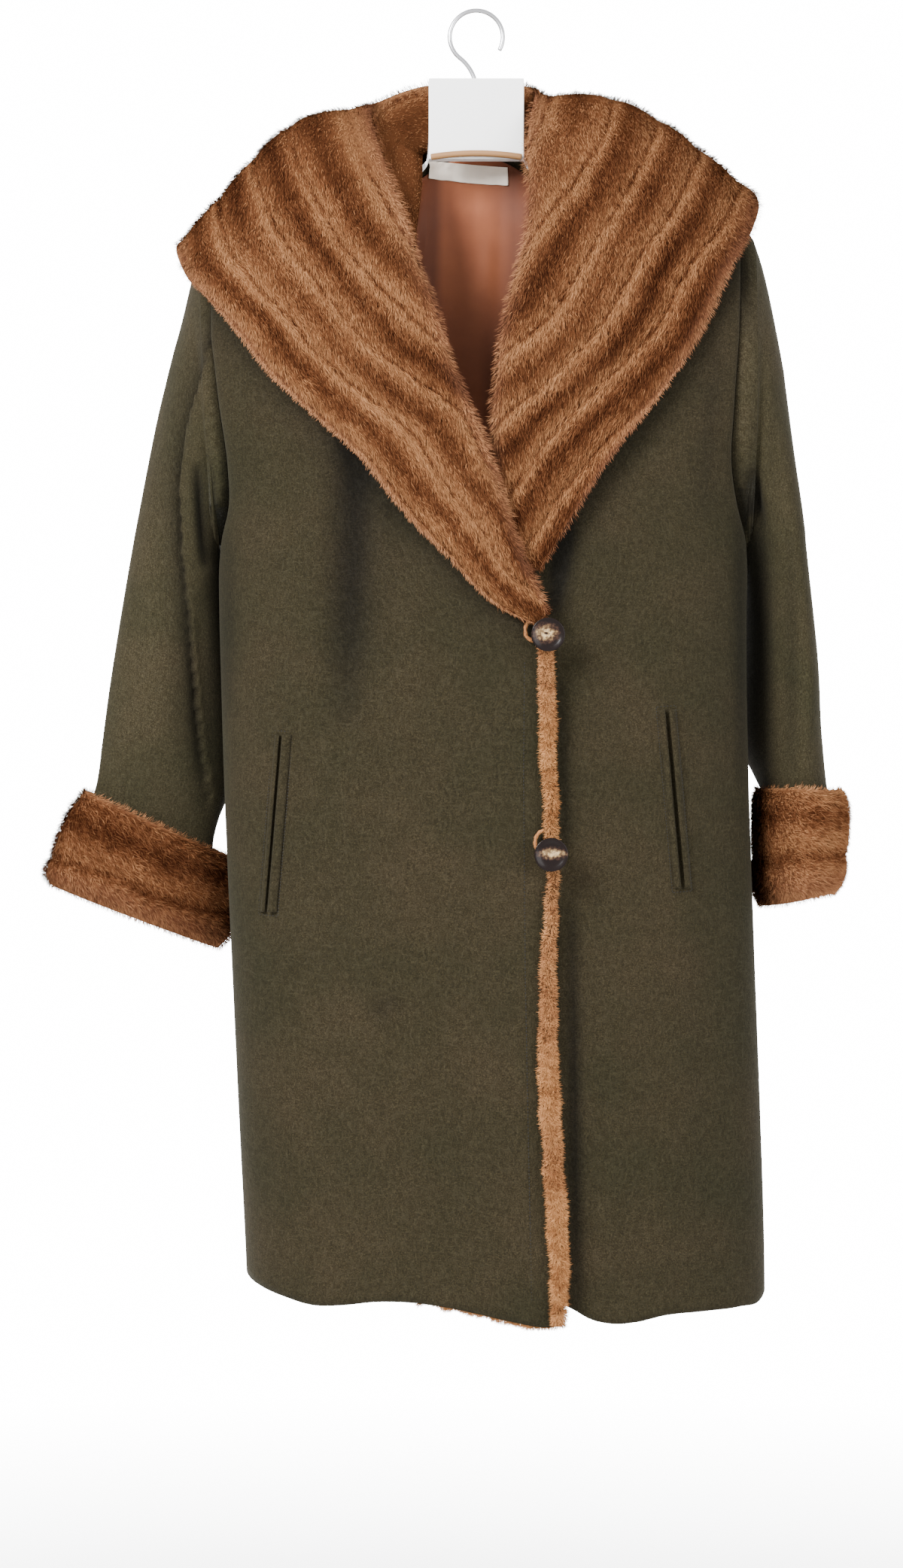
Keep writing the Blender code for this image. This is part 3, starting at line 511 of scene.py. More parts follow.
def put_object(
    name: str, points: np.ndarray, faces: np.ndarray, slots: np.ndarray | None = None
) -> bpy.types.Object:
    """Makes one mesh object from arrays.

    Args: name: the piece's name. points: corners in millimetres. faces: rows of 3 or 4 corners.
        slots: a material slot for each face.
    Returns: the new object, at the origin.
    """
    mesh = bpy.data.meshes.new(name)
    mesh.vertices.add(len(points))
    mesh.vertices.foreach_set("co", (np.asarray(points, float) * MM).astype(np.float32).ravel())
    size = faces.shape[1]
    mesh.loops.add(faces.size)
    mesh.loops.foreach_set("vertex_index", faces.astype(np.int32).ravel())
    mesh.polygons.add(len(faces))
    mesh.polygons.foreach_set("loop_start", np.arange(0, faces.size, size, dtype=np.int32))
    mesh.polygons.foreach_set("use_smooth", np.ones(len(faces), bool))
    if slots is not None:
        mesh.polygons.foreach_set("material_index", np.asarray(slots, np.int32))
    mesh.update(calc_edges=True)
    mesh.validate()
    obj = bpy.data.objects.new(name, mesh)
    bpy.context.scene.collection.objects.link(obj)
    return obj


def put_values(obj: bpy.types.Object, name: str, values: np.ndarray) -> None:
    """Stores one number for each corner point of a mesh under a name that a material reads."""
    attribute = obj.data.attributes.new(name, "FLOAT", "POINT")
    attribute.data.foreach_set("value", np.asarray(values, np.float32).ravel())


def put_painted_shade(obj: bpy.types.Object, fold: np.ndarray, most: float = 0.96) -> None:
    """Stores painted shade at each place, as the value fold by which the colour darkens, on a piece made by
    wall, outer and inner alike.
    """
    put_values(obj, "fold", np.tile(np.clip(fold, 0, most).ravel(), 2))


def put_uv(obj: bpy.types.Object, places: np.ndarray) -> None:
    """Stores a UV map named cloth, from one (u, v) in metres for each corner point."""
    layer = obj.data.uv_layers.new(name="cloth")
    corner = np.empty(len(obj.data.loops), np.int32)
    obj.data.loops.foreach_get("vertex_index", corner)
    layer.data.foreach_set("uv", places[corner].astype(np.float32).ravel())


def grid_places(points: np.ndarray) -> np.ndarray:
    """Arc lengths across and up a grid, in metres, as places for a weave."""
    across = np.linalg.norm(np.diff(points, axis=1), axis=2).mean(axis=0)
    up = np.linalg.norm(np.diff(points, axis=0), axis=2).mean(axis=1)
    u = np.concatenate([[0], np.cumsum(across)])
    v = np.concatenate([[0], np.cumsum(up)])
    return np.stack(np.broadcast_arrays(u[None], v[:, None]), axis=-1) * MM


def wall(
    name: str, outer: np.ndarray, inner: np.ndarray, outward: int, wrap: bool = False
) -> bpy.types.Object:
    """Makes a sheet of cloth or fur with an outer and an inner face and closed rims.

    Args: name: the piece's name. outer, inner: grids of points. outward: +1 where a grid's own
        normal points out, else -1. wrap: whether the columns close on themselves.
    Returns: the object; its slot 0 is the outer face and rims, and its slot 1 the inner face.
    """
    rows, columns = outer.shape[:2]
    index = np.arange(rows * columns).reshape(rows, columns)
    after = np.roll(index, -1, axis=1) if wrap else index[:, 1:]
    before = index if wrap else index[:, :-1]
    quads = np.stack([before[:-1], after[:-1], after[1:], before[1:]], axis=-1).reshape(-1, 4)
    behind = rows * columns
    ends = [(after[0], before[0]), (before[-1], after[-1])]
    if not wrap:
        left, right = index[:, 0], index[:, -1]
        ends += [(left[:-1], left[1:]), (right[1:], right[:-1])]
    rims = np.concatenate([np.stack([a, b, b + behind, a + behind], axis=-1) for a, b in ends])
    faces = np.concatenate([quads, rims, quads[:, ::-1] + behind])
    if outward < 0:
        faces = faces[:, ::-1]
    slots = np.repeat([0, 1], [len(quads) + len(rims), len(quads)])
    points = np.concatenate([outer.reshape(-1, 3), inner.reshape(-1, 3)])
    obj = put_object(name, points, faces, slots)
    places = grid_places(outer).reshape(-1, 2)
    put_uv(obj, np.concatenate([places, places]))
    cells = np.cross(outer[1:, 1:] - outer[:-1, :-1], outer[1:, :-1] - outer[:-1, 1:])
    log.info("%-22s %.3f x %.3f m, %.4f m2", name, *places.max(axis=0),
             np.linalg.norm(cells, axis=2).sum() / 2 * MM * MM)
    return obj


def finish_piece(
    obj: bpy.types.Object, node: str, *materials: bpy.types.Material, extra: bool = False
) -> bpy.types.Object:
    """Dresses a piece and ties it to the frame.

    Args: obj: the piece. node: the frame's node that it stands for.
        materials: one for each of the mesh's slots. extra: whether it only adds to that node.
    Returns: the piece.
    """
    obj.data.materials.clear()
    for material in materials:
        obj.data.materials.append(material)
    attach(obj, "root")
    if not extra:
        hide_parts(node)
    triangles = sum(len(face.vertices) - 2 for face in obj.data.polygons)
    log.info("%-22s %7d triangles", obj.name, triangles)
    return obj


# ---------------------------------------------------------------- material nodes


class Nodes:
    """A node tree under construction."""

    def __init__(self, tree: bpy.types.NodeTree) -> None:
        """Args: tree: the tree that takes the nodes."""
        self.tree = tree

    def fill(self, node: bpy.types.Node, inputs: dict) -> None:
        """Sets a node's inputs. Args: node: which. inputs: a value or an output socket for each key."""
        for key, value in inputs.items():
            if isinstance(value, bpy.types.NodeSocket):
                self.tree.links.new(value, node.inputs[key])
            else:
                node.inputs[key].default_value = value

    def add(self, kind: str, inputs: dict | None = None, **settings: object) -> bpy.types.Node:
        """Adds a node.

        Args: kind: its type without the ShaderNode part. inputs: a value or an output socket for
            each input, by name or number. settings: its own properties.
        Returns: the node.
        """
        node = self.tree.nodes.new("ShaderNode" + kind)
        for key, value in settings.items():
            setattr(node, key, value)
        self.fill(node, inputs or {})
        return node

    def math(self, operation: str, *values: Input) -> bpy.types.NodeSocket:
        """The output of a Math node over the given values or sockets."""
        return self.add("Math", dict(enumerate(values)), operation=operation).outputs[0]

    def total(self, *terms: tuple, base: float = 0.0) -> bpy.types.NodeSocket:
        """The sum of a base and (socket, factor) terms."""
        for socket, factor in terms:
            base = self.math("MULTIPLY_ADD", socket, factor, base)
        return base

    def vector(self, operation: str, *values: Input) -> bpy.types.NodeSocket:
        """The output of a Vector Math node over the given values or sockets."""
        node = self.add("VectorMath", dict(enumerate(values)), operation=operation)
        return node.outputs["Value" if operation == "LENGTH" else "Vector"]

    def mapped(
        self, value: Input, low: float, high: float, to_low: float, to_high: float
    ) -> bpy.types.NodeSocket:
        """A value moved from one range to another and held at its ends."""
        return self.add("MapRange", {0: value, 1: low, 2: high, 3: to_low, 4: to_high}).outputs[0]

    def blend(
        self, share: Input, first: Input, second: Input, blend_type: str = "MIX"
    ) -> bpy.types.NodeSocket:
        """The output of a colour Mix node; share, first and second are values or sockets."""
        node = self.add("Mix", {0: share, 6: first, 7: second}, data_type="RGBA", blend_type=blend_type)
        return node.outputs[2]

    def ramp(self, share: Input, *stops: tuple) -> bpy.types.NodeSocket:
        """The colour of a Color Ramp node over (place, colour) stops."""
        node = self.add("ValToRGB", {0: share})
        elements = node.color_ramp.elements
        while len(elements) < len(stops):
            elements.new(0.5)
        for element, (place, colour) in zip(elements, stops):
            element.position, element.color = place, (*colour, 1.0)
        return node.outputs[0]

    def bump(self, height: Input, strength: float, distance: float) -> bpy.types.NodeSocket:
        """Normals bent by a height."""
        return self.add("Bump", {"Strength": strength, "Distance": distance, "Height": height}).outputs[0]

    def place(self) -> bpy.types.NodeSocket:
        """The place on the object."""
        return self.add("TexCoord").outputs["Object"]

    def cloth(self) -> bpy.types.NodeSocket:
        """The place on the cloth, from its UV map."""
        return self.add("UVMap", None, uv_map="cloth").outputs[0]

    def stored(self, name: str) -> bpy.types.NodeSocket:
        """A value that the mesh holds at its points."""
        return self.add("Attribute", None, attribute_name=name).outputs["Fac"]


class Effects:
    """Shader groups that several finishes share, each built once."""

    def __init__(self) -> None:
        """Builds the groups."""
        self.groups = {"patches": self._patches(), "weave": self._weave(), "nap": self._nap()}

    def use(self, nodes: Nodes, name: str, *values: Input) -> bpy.types.bpy_prop_collection:
        """Places a group. Args: nodes: where. name: which. values: its inputs. Returns: its outputs."""
        return nodes.add("Group", dict(enumerate(values)), node_tree=self.groups[name]).outputs

    @staticmethod
    def _start(name: str, inputs: tuple, outputs: tuple) -> tuple:
        """Starts a shader node group.

        Args: name: its name. inputs: the names after Vector. outputs: the names of the numbers it gives.
        Returns: the group, its Nodes, the sockets that its inputs feed and its output node.
        """
        tree = bpy.data.node_groups.new(name, "ShaderNodeTree")
        tree.interface.new_socket("Vector", in_out="INPUT", socket_type="NodeSocketVector")
        for way, labels in (("INPUT", inputs), ("OUTPUT", outputs)):
            for label in labels:
                tree.interface.new_socket(label, in_out=way, socket_type="NodeSocketFloat")
        source, out = tree.nodes.new("NodeGroupInput"), tree.nodes.new("NodeGroupOutput")
        return tree, Nodes(tree), source.outputs, out

    @staticmethod
    def _patches() -> bpy.types.NodeTree:
        """Uneven patches of a chosen size: Vector, Scale and Contrast give Mask, about a half."""
        tree, nodes, source, out = Effects._start("uneven_patches", ("Scale", "Contrast"), ("Mask",))
        noise = nodes.add("TexNoise", {"Vector": source[0], "Scale": source[1], "Detail": 4.0}).outputs[0]
        spread = nodes.math("MULTIPLY_ADD", nodes.math("SUBTRACT", noise, 0.5), source[2], 0.5)
        nodes.fill(out, {0: nodes.add("Clamp", {0: spread}).outputs[0]})
        return tree

    @staticmethod
    def _weave() -> bpy.types.NodeTree:
        """Crossed threads from a UV map: Vector and Scale, in threads a metre, give Height."""
        tree, nodes, source, out = Effects._start("woven_threads", ("Scale",), ("Height",))
        inputs = {"Vector": source[0], "Scale": source[1], "Distortion": 1.2}
        waves = [nodes.add("TexWave", inputs, bands_direction=way).outputs[1] for way in "XY"]
        nodes.fill(out, {0: nodes.math("MAXIMUM", *waves)})
        return tree

    @staticmethod
    def _nap() -> bpy.types.NodeTree:
        """Short raised fibres: Vector and Scale give Fibre, a mask, and Height."""
        tree, nodes, source, out = Effects._start("raised_nap", ("Scale",), ("Fibre", "Height"))
        bent = nodes.add("TexNoise", {"Vector": source[0], "Scale": 60.0, "Detail": 2.0}).outputs[1]
        vector = nodes.vector("MULTIPLY_ADD", bent, (0.012, 0.012, 0.012), source[0])
        layers = []
        for turn, stretch in ((0.35, (1.0, 0.16, 1.0)), (-0.5, (0.2, 1.0, 1.0)), (1.2, (1.0, 0.3, 1.0))):
            turned = {"Vector": vector, "Rotation": (0, 0, turn), "Scale": stretch}
            placed = nodes.add("Mapping", turned).outputs[0]
            inputs = {"Vector": placed, "Scale": source[1], "Detail": 2.0}
            layers.append(nodes.add("TexNoise", inputs).outputs[0])
        strongest = nodes.math("MAXIMUM", nodes.math("MAXIMUM", layers[0], layers[1]), layers[2])
        height = nodes.total(*((layer, 0.4) for layer in layers))
        nodes.fill(out, {0: nodes.mapped(strongest, 0.5, 0.74, 0.0, 1.0), 1: height})
        return tree


@dataclass(frozen=True)
class Finish:
    """What every finish has: a name, and a material that its own recipe feeds."""

    name: str

    def recipe(self, nodes: Nodes, effects: Effects) -> dict:
        """Builds the nodes. Args: nodes: the tree. effects: the shared groups. Returns: the inputs."""
        raise NotImplementedError

    def material(self, effects: Effects | None = None) -> bpy.types.Material:
        """Builds the finish. Args: effects: the shared groups. Returns: the material."""
        material = bpy.data.materials.new(self.name)
        material.use_nodes = True
        nodes = Nodes(material.node_tree)
        nodes.fill(material.node_tree.nodes["Principled BSDF"], self.recipe(nodes, effects))
        return material


@dataclass(frozen=True)
class WoolFinish(Finish):
    """Felted wool with a soft nap and a mixed olive yarn, darkened by the painted shade that its piece
    stores as fold.
    """

    deep: tuple = (0.0052, 0.0042, 0.0018)
    middle: tuple = (0.0140, 0.0106, 0.0047)
    pale: tuple = (0.042, 0.034, 0.018)
    painted_shade_colour: tuple = (0.16, 0.15, 0.14, 1.0)
    sheen: tuple = (0.62, 0.60, 0.46, 1.0)

    def recipe(self, nodes: Nodes, effects: Effects) -> dict:
        """Builds the nodes. Args: nodes: the tree. effects: the shared groups. Returns: the inputs."""
        uv, place = nodes.cloth(), nodes.place()
        fibre, raised = effects.use(nodes, "nap", uv, 520.0)
        weave = effects.use(nodes, "weave", uv, 190.0)[0]
        broad = effects.use(nodes, "patches", place, 11.0, 0.9)[0]
        fine = effects.use(nodes, "patches", place, 900.0, 1.8)[0]
        tone = nodes.total((broad, 0.35), (fine, 0.65))
        colour = nodes.ramp(tone, (0.15, self.deep), (0.55, self.middle), (0.95, self.pale))
        colour = nodes.blend(nodes.math("MULTIPLY", fibre, 0.24), colour, (*self.pale, 1.0))
        tint = nodes.ramp(broad, (0.25, (0.90, 1.01, 0.86)), (0.75, (1.09, 1.0, 0.99)))
        colour = nodes.blend(1.0, colour, tint, "MULTIPLY")
        height = nodes.total((raised, 1.0), (weave, 0.25), (fine, 0.5))
        return {
            # Painted shade: the colour darkens where the piece stores fold.
            "Base Color": nodes.blend(nodes.stored("fold"), colour, self.painted_shade_colour, "MULTIPLY"),
            "Normal": nodes.bump(height, 0.5, 0.0006),
            "Roughness": nodes.mapped(fibre, 0.0, 1.0, 0.96, 0.82),
            "Sheen Weight": 0.05, "Sheen Roughness": 0.45, "Sheen Tint": self.sheen,
            "Specular IOR Level": 0.12,
        }


@dataclass(frozen=True)
class FurFinish(Finish):
    """Dense fur: dark grotzen, warm middle and pale tips, read from the hairs' own values, and a pale tint
    that on the collar is painted highlight.
    """

    dark: tuple = (0.0125, 0.0038, 0.0021)
    brown: tuple = (0.056, 0.0185, 0.0078)
    warm: tuple = (0.138, 0.0520, 0.0215)
    pale: tuple = (0.350, 0.1640, 0.0720)
    # Pale tint, which on the collar also paints highlight.
    tint_and_highlight: tuple = (0.310, 0.1350, 0.0780)

    def recipe(self, nodes: Nodes, effects: Effects) -> dict:
        """Builds the nodes. Args: nodes: the tree. effects: the shared groups. Returns: the inputs."""
        place = nodes.place()
        tone, tip, tint_and_highlight = (nodes.stored(name) for name in ("tone", "tip", "tint_and_highlight"))
        broad = effects.use(nodes, "patches", place, 26.0, 1.4)[0]
        fine = effects.use(nodes, "patches", place, 420.0, 1.6)[0]
        share = nodes.total((tone, 1.0), (broad, 0.16), (fine, 0.20), (tip, 0.10), base=-0.18)
        colour = nodes.ramp(
            share, (0.05, self.dark), (0.33, self.brown), (0.62, self.warm), (0.95, self.pale)
        )
        # Pale tint; on the collar's roll line and outer edge it is painted highlight.
        colour = nodes.blend(nodes.math("MULTIPLY", tint_and_highlight, 0.32), colour, (*self.tint_and_highlight, 1.0))
        rooted = nodes.mapped(tip, 0.0, 0.8, 0.22, 1.0)
        grey = nodes.add("CombineColor", {0: rooted, 1: rooted, 2: rooted}).outputs[0]
        return {
            "Base Color": nodes.blend(1.0, colour, grey, "MULTIPLY"),
            "Roughness": nodes.mapped(fine, 0.0, 1.0, 0.5, 0.7), "Specular IOR Level": 0.0,
        }


@dataclass(frozen=True)
class SatinFinish(Finish):
    """Smooth lining satin or label satin, with a faint thread and soft mottling, darkened by the painted
    shade that its piece stores as fold.
    """

    dark: tuple
    light: tuple
    roughness: float = 0.42
    threads: float = 420.0
    relief: float = 0.00012
    painted_shade_colour: tuple = (0.30, 0.25, 0.22, 1.0)

    def recipe(self, nodes: Nodes, effects: Effects) -> dict:
        """Builds the nodes. Args: nodes: the tree. effects: the shared groups. Returns: the inputs."""
        weave = effects.use(nodes, "weave", nodes.cloth(), self.threads)[0]
        broad = effects.use(nodes, "patches", nodes.place(), 30.0, 1.2)[0]
        colour = nodes.ramp(nodes.total((broad, 0.7), (weave, 0.3)), (0.15, self.dark), (0.9, self.light))
        rough = nodes.mapped(broad, 0.0, 1.0, self.roughness - 0.05, self.roughness + 0.08)
        return {
            # Painted shade: the colour darkens where the piece stores fold.
            "Base Color": nodes.blend(nodes.stored("fold"), colour, self.painted_shade_colour, "MULTIPLY"),
            "Normal": nodes.bump(weave, 0.35, self.relief), "Roughness": rough,
            "Sheen Weight": 0.04, "Sheen Roughness": 0.3, "Specular IOR Level": 0.25,
        }


@dataclass(frozen=True)
class HornFinish(Finish):
    """Polished horn look: a cream cloud on a dark ground, placed on its own button.

    The place is in metres; the eye is how much of the cloud's light stays at its middle.
    """

    middle: tuple
    turn: float
    stretch: tuple
    eye: float = 1.0

    def recipe(self, nodes: Nodes, effects: Effects) -> dict:
        """Builds the nodes. Args: nodes: the tree. effects: the shared groups. Returns: the inputs."""
        moved = nodes.vector("SUBTRACT", nodes.place(), self.middle)
        turned = {"Vector": moved, "Rotation": (0, self.turn, 0), "Scale": self.stretch}
        placed = nodes.add("Mapping", turned).outputs[0]
        reach = nodes.vector("LENGTH", placed)
        cloud = effects.use(nodes, "patches", moved, 330.0, 2.2)[0]
        streak = effects.use(nodes, "patches", placed, 9.0, 1.6)[0]
        near = nodes.total((reach, -0.45), base=1.0)
        share = nodes.math("MULTIPLY", near, nodes.total((cloud, 0.7), base=0.52))
        share = nodes.total((share, 1.0), (streak, 0.14))
        share = nodes.math("MULTIPLY", share, nodes.mapped(reach, 0.06, 0.24, self.eye, 1.0))
        colour = nodes.ramp(
            share,
            (0.36, (0.0060, 0.0034, 0.0030)),
            (0.52, (0.0300, 0.0150, 0.0100)),
            (0.68, (0.1300, 0.0800, 0.0380)),
            (0.90, (0.3800, 0.2700, 0.1400)),
        )
        return {
            "Base Color": colour, "Roughness": nodes.mapped(streak, 0.0, 1.0, 0.16, 0.28),
            "Specular IOR Level": 0.12, "Coat Weight": 0.03, "Coat Roughness": 0.06,
        }


@dataclass(frozen=True)
class ShellFinish(Finish):
    """Moulded plastic or drawn wire: an even colour with fine unevenness and handling marks."""

    colour: tuple
    shade: tuple
    roughness: float
    metallic: float = 0.0
    grain: float = 900.0
    relief: float = 0.00004

    def recipe(self, nodes: Nodes, effects: Effects) -> dict:
        """Builds the nodes. Args: nodes: the tree. effects: the shared groups. Returns: the inputs."""
        place = nodes.place()
        broad = effects.use(nodes, "patches", place, 24.0, 1.0)[0]
        fine = effects.use(nodes, "patches", place, self.grain, 1.0)[0]
        return {
            "Base Color": nodes.ramp(broad, (0.1, self.shade), (0.8, self.colour)),
            "Normal": nodes.bump(fine, 0.3, self.relief),
            "Roughness": nodes.mapped(broad, 0.0, 1.0, self.roughness - 0.06, self.roughness + 0.1),
            "Metallic": self.metallic,
        }


@dataclass(frozen=True)
class FloorFinish(Finish):
    """Pale matt floor that fades away with the distance from its middle."""

    reach: float = 2.28

    def recipe(self, nodes: Nodes, effects: None) -> dict:
        """Builds the nodes. Args: nodes: the tree. effects: none. Returns: the inputs."""
        flat = nodes.vector("MULTIPLY", nodes.place(), (1, 1, 0))
        return {
            "Alpha": nodes.mapped(nodes.vector("LENGTH", flat), 0.5, self.reach, 1.0, 0.0),
            "Base Color": (0.9, 0.9, 0.89, 1.0), "Roughness": 0.9, "Specular IOR Level": 0.1,
        }


class Wardrobe:
    """Every material of the coat and its hanger, each built once."""

    def __init__(self) -> None:
        """Builds the materials."""
        self.effects = Effects()
        self.wool = self.made(WoolFinish("olive_wool"))
        self.wool_welt = self.made(
            WoolFinish("olive_wool_welt", (0.0048, 0.0039, 0.0017), (0.0128, 0.0098, 0.0044))
        )
        self.thread = self.made(
            SatinFinish("olive_thread", (0.0035, 0.0028, 0.0013), (0.0085, 0.0068, 0.0032), 0.6, 900.0)
        )
        self.lining = self.made(
            SatinFinish("brown_lining", (0.235, 0.066, 0.027), (0.370, 0.118, 0.049), 0.55)
        )
        self.label = self.made(
            SatinFinish("cream_label", (0.95, 0.79, 0.64), (1.0, 0.93, 0.82), 0.55, 260.0, 0.0004)
        )
        # Painted light: a lighter copy of the olive wool for the sleeves.
        self.sleeve_wool = self.made(WoolFinish(
            "olive_wool_sleeve", (0.0068, 0.0056, 0.0026), (0.0186, 0.0145, 0.0069), (0.056, 0.047, 0.027)
        ))
        self.pile = self.made(FurFinish("brown_fur"))
        self.pale_pile = self.made(FurFinish(
            "tan_fur", brown=(0.090, 0.028, 0.008), warm=(0.260, 0.106, 0.038),
            pale=(0.520, 0.245, 0.095), tint_and_highlight=(0.380, 0.165, 0.095),
        ))
        upper = HornFinish("horn_upper", (0.0598, -0.129, -0.5660), 0.5, (110.0, 60.0, 150.0), 0.4)
        lower = HornFinish("horn_lower", (0.0655, -0.130, -0.7575), 0.45, (95.0, 60.0, 235.0))
        self.horn = {Place.UPPER: self.made(upper), Place.LOWER: self.made(lower)}
        self.plastic = self.made(ShellFinish("white_plastic", (1.0, 1.0, 0.995), (0.98, 0.98, 0.975), 0.34))
        # Painted shade: the same white plastic, made beige for the shaded underside of the plate.
        self.lip = self.made(ShellFinish("white_plastic_painted_shade", (0.27, 0.135, 0.046), (0.22, 0.105, 0.036), 0.55))
        self.steel = self.made(
            ShellFinish("bright_steel", (0.62, 0.62, 0.64), (0.50, 0.50, 0.52), 0.24, 1.0, 1400.0)
        )

    def made(self, finish: Finish) -> bpy.types.Material:
        """Builds one finish. Returns: its material."""
        return finish.material(self.effects)


# ---------------------------------------------------------------- fur


@dataclass(frozen=True)
class PileCut:
    """How a fur's hairs are cut and laid, in millimetres and degrees.

    A hair is two straight halves. Its length, lift and spin vary from hair to hair by the spreads.
    """

    length: float = 9.5
    width: float = 0.42
    lift: float = 28.0
    bend: float = 20.0
    stray: float = 0.22
    clump: float = 6.0
    ruffle: float = 0.20
    sunk: float = 1.6
    half: float = 0.52
    length_spread: float = 0.12
    lift_spread: float = 7.0
    spin_spread: float = 0.35
    tone_spread: float = 0.15


@dataclass
class PeltField:
    """A fur's skin as grids: points, normals, lie of the hair, tone, a pale tint with its painted
    highlight, and length share.

    The tone's grid may be finer than the others, by a whole number of steps to each of theirs.
    """

    skin: np.ndarray
    normal: np.ndarray
    lie: np.ndarray
    tone: np.ndarray
    tint_and_highlight: np.ndarray
    share: np.ndarray

    def wrapped(self) -> "PeltField":
        """The same field with its first column repeated at the end, for a closed tube."""
        return PeltField(*(np.concatenate([grid, grid[:, :1]], axis=1) for grid in vars(self).values()))

    def fineness(self) -> int:
        """How many steps of the tone's grid make one step of the others."""
        return (self.tone.shape[0] - 1) // (self.skin.shape[0] - 1)

    def rows(self, first: int, last: int) -> "PeltField":
        """The part of the field between two rows."""
        part = PeltField(*(grid[first : last + 1] for grid in vars(self).values()))
        part.tone = self.tone[first * self.fineness() : last * self.fineness() + 1]
        return part


def grow_pile(
    name: str, field: PeltField, cut: PileCut, count: int, seed: int, node: str, fur: bpy.types.Material
) -> bpy.types.Object:
    """Grows short bent hairs on a skin, as one joined mesh of two-triangle blades.

    Args: name: the piece's name. field: the skin. cut: the hairs' cut. count: how many.
        seed: which random draw. node: the frame's node that it adds to. fur: its material.
    Returns: the piece, with the values tone, tip, and the tint with its painted highlight, at its points.
    """
    rng = np.random.default_rng(seed)
    p = field.skin
    area = np.linalg.norm(np.cross(p[1:, 1:] - p[:-1, :-1], p[1:, :-1] - p[:-1, 1:]), axis=2)
    cell = rng.choice(area.size, count, p=(area / area.sum()).ravel())
    row, column = np.divmod(cell, area.shape[1])
    a, b = rng.random((2, count, 1))

    def read(grid: np.ndarray) -> np.ndarray:
        """A grid's value at each root."""
        grid = grid.reshape(*grid.shape[:2], -1)
        low = grid[row, column] * (1 - a) + grid[row, column + 1] * a
        high = grid[row + 1, column] * (1 - a) + grid[row + 1, column + 1] * a
        return low * (1 - b) + high * b

    normal, lie = unit(read(field.normal)), read(field.lie)
    root = read(field.skin) - normal * cut.sunk
    lie = unit(lie - normal * np.sum(lie * normal, axis=1, keepdims=True))
    aside = np.cross(normal, lie)
    place = root @ np.array([[0.86, 0.31], [0.2, -0.55], [-0.47, 0.78]])
    swirl = mottle(place[:, 0], place[:, 1], seed + 1, cut.clump) * 0.20
    swirl += mottle(place[:, 1] + 90, place[:, 0], seed + 2, cut.clump * 3.2) * 0.14
    swirl = (swirl + rng.normal(0, cut.stray, count))[:, None]
    way = unit(lie * np.cos(swirl) + aside * np.sin(swirl))
    stand = mottle(place[:, 0], place[:, 1], seed + 3, cut.clump * 0.8)
    edge = read(field.tint_and_highlight)[:, 0]
    lift = cut.lift * (1 + 0.30 * stand + 0.8 * edge) + rng.normal(0, cut.lift_spread, count)
    lift = np.radians(lift)[:, None]
    bend = np.radians(cut.bend)
    uneven = 1 + 0.10 * stand + rng.normal(0, cut.length_spread, count)
    length = read(field.share) * cut.length * uneven[:, None]

    def onwards(start: np.ndarray, angle: np.ndarray) -> np.ndarray:
        """The end of half a hair that leaves its start at an angle to the skin."""
        return start + cut.half * length * (way * np.cos(angle) + normal * np.sin(angle))

    middle = onwards(root, lift + bend / 2)
    tip = onwards(middle, lift - bend)
    spin = rng.normal(0, cut.spin_spread, (count, 1))
    across = unit(np.cross(way, normal) * np.cos(spin) + normal * np.sin(spin))
    half = cut.width / 2 * rng.uniform(0.6, 1.3, (count, 1))
    points = np.stack([root, middle - across * half, middle + across * half, tip], axis=1)
    facing = np.cross(points[:, 1] - root, points[:, 2] - root)
    turned = np.sum(facing * normal, axis=1) < 0
    points[turned] = points[turned][:, [0, 2, 1, 3]]
    base = np.arange(count)[:, None] * 4
    faces = np.concatenate([base + (0, 1, 2), base + (1, 3, 2)])
    obj = put_object(name, points.reshape(-1, 3), faces)
    fine = field.fineness()
    tone = field.tone[np.rint((row + b[:, 0]) * fine).astype(int),
                      np.rint((column + a[:, 0]) * fine).astype(int)]
    tone = tone + 0.06 * stand + rng.normal(0, cut.tone_spread, count)
    put_values(obj, "tone", np.repeat(tone, 4))
    put_values(obj, "tint_and_highlight", np.repeat(edge, 4))
    put_values(obj, "tip", np.tile([0.0, 0.6, 0.6, 1.0], count))
    shading = unit(normal + 0.22 * way + rng.normal(0, cut.ruffle, (count, 3)))
    flat = np.repeat(shading, 4, axis=0)
    obj.data.normals_split_custom_set_from_vertices(flat.astype(np.float32))
    return finish_piece(obj, node, fur, extra=True)


def make_skin(
    name: str, field: PeltField, inner: np.ndarray, outward: int, node: str,
    *materials: bpy.types.Material, wrap: bool = False,
) -> bpy.types.Object:
    """Makes the skin under a fur, with the values tone, tip, and the tint with its painted highlight, at
    its points.

    Args: name: the piece's name. field: its outer face. inner: the grid of its inner face.
        outward, wrap: as for wall. node: the frame's node. materials: the outer and the inner one.
    Returns: the piece.
    """
    obj = wall(name, field.skin, inner, outward, wrap)
    fine = field.fineness()
    for value, grid in (("tone", field.tone[::fine, ::fine]), ("tint_and_highlight", field.tint_and_highlight)):
        put_values(obj, value, np.tile(grid.ravel(), 2))
    put_values(obj, "tip", np.full(2 * field.tint_and_highlight.size, 0.3))
    return finish_piece(obj, node, *materials)


# ---------------------------------------------------------------- the coat's cloth


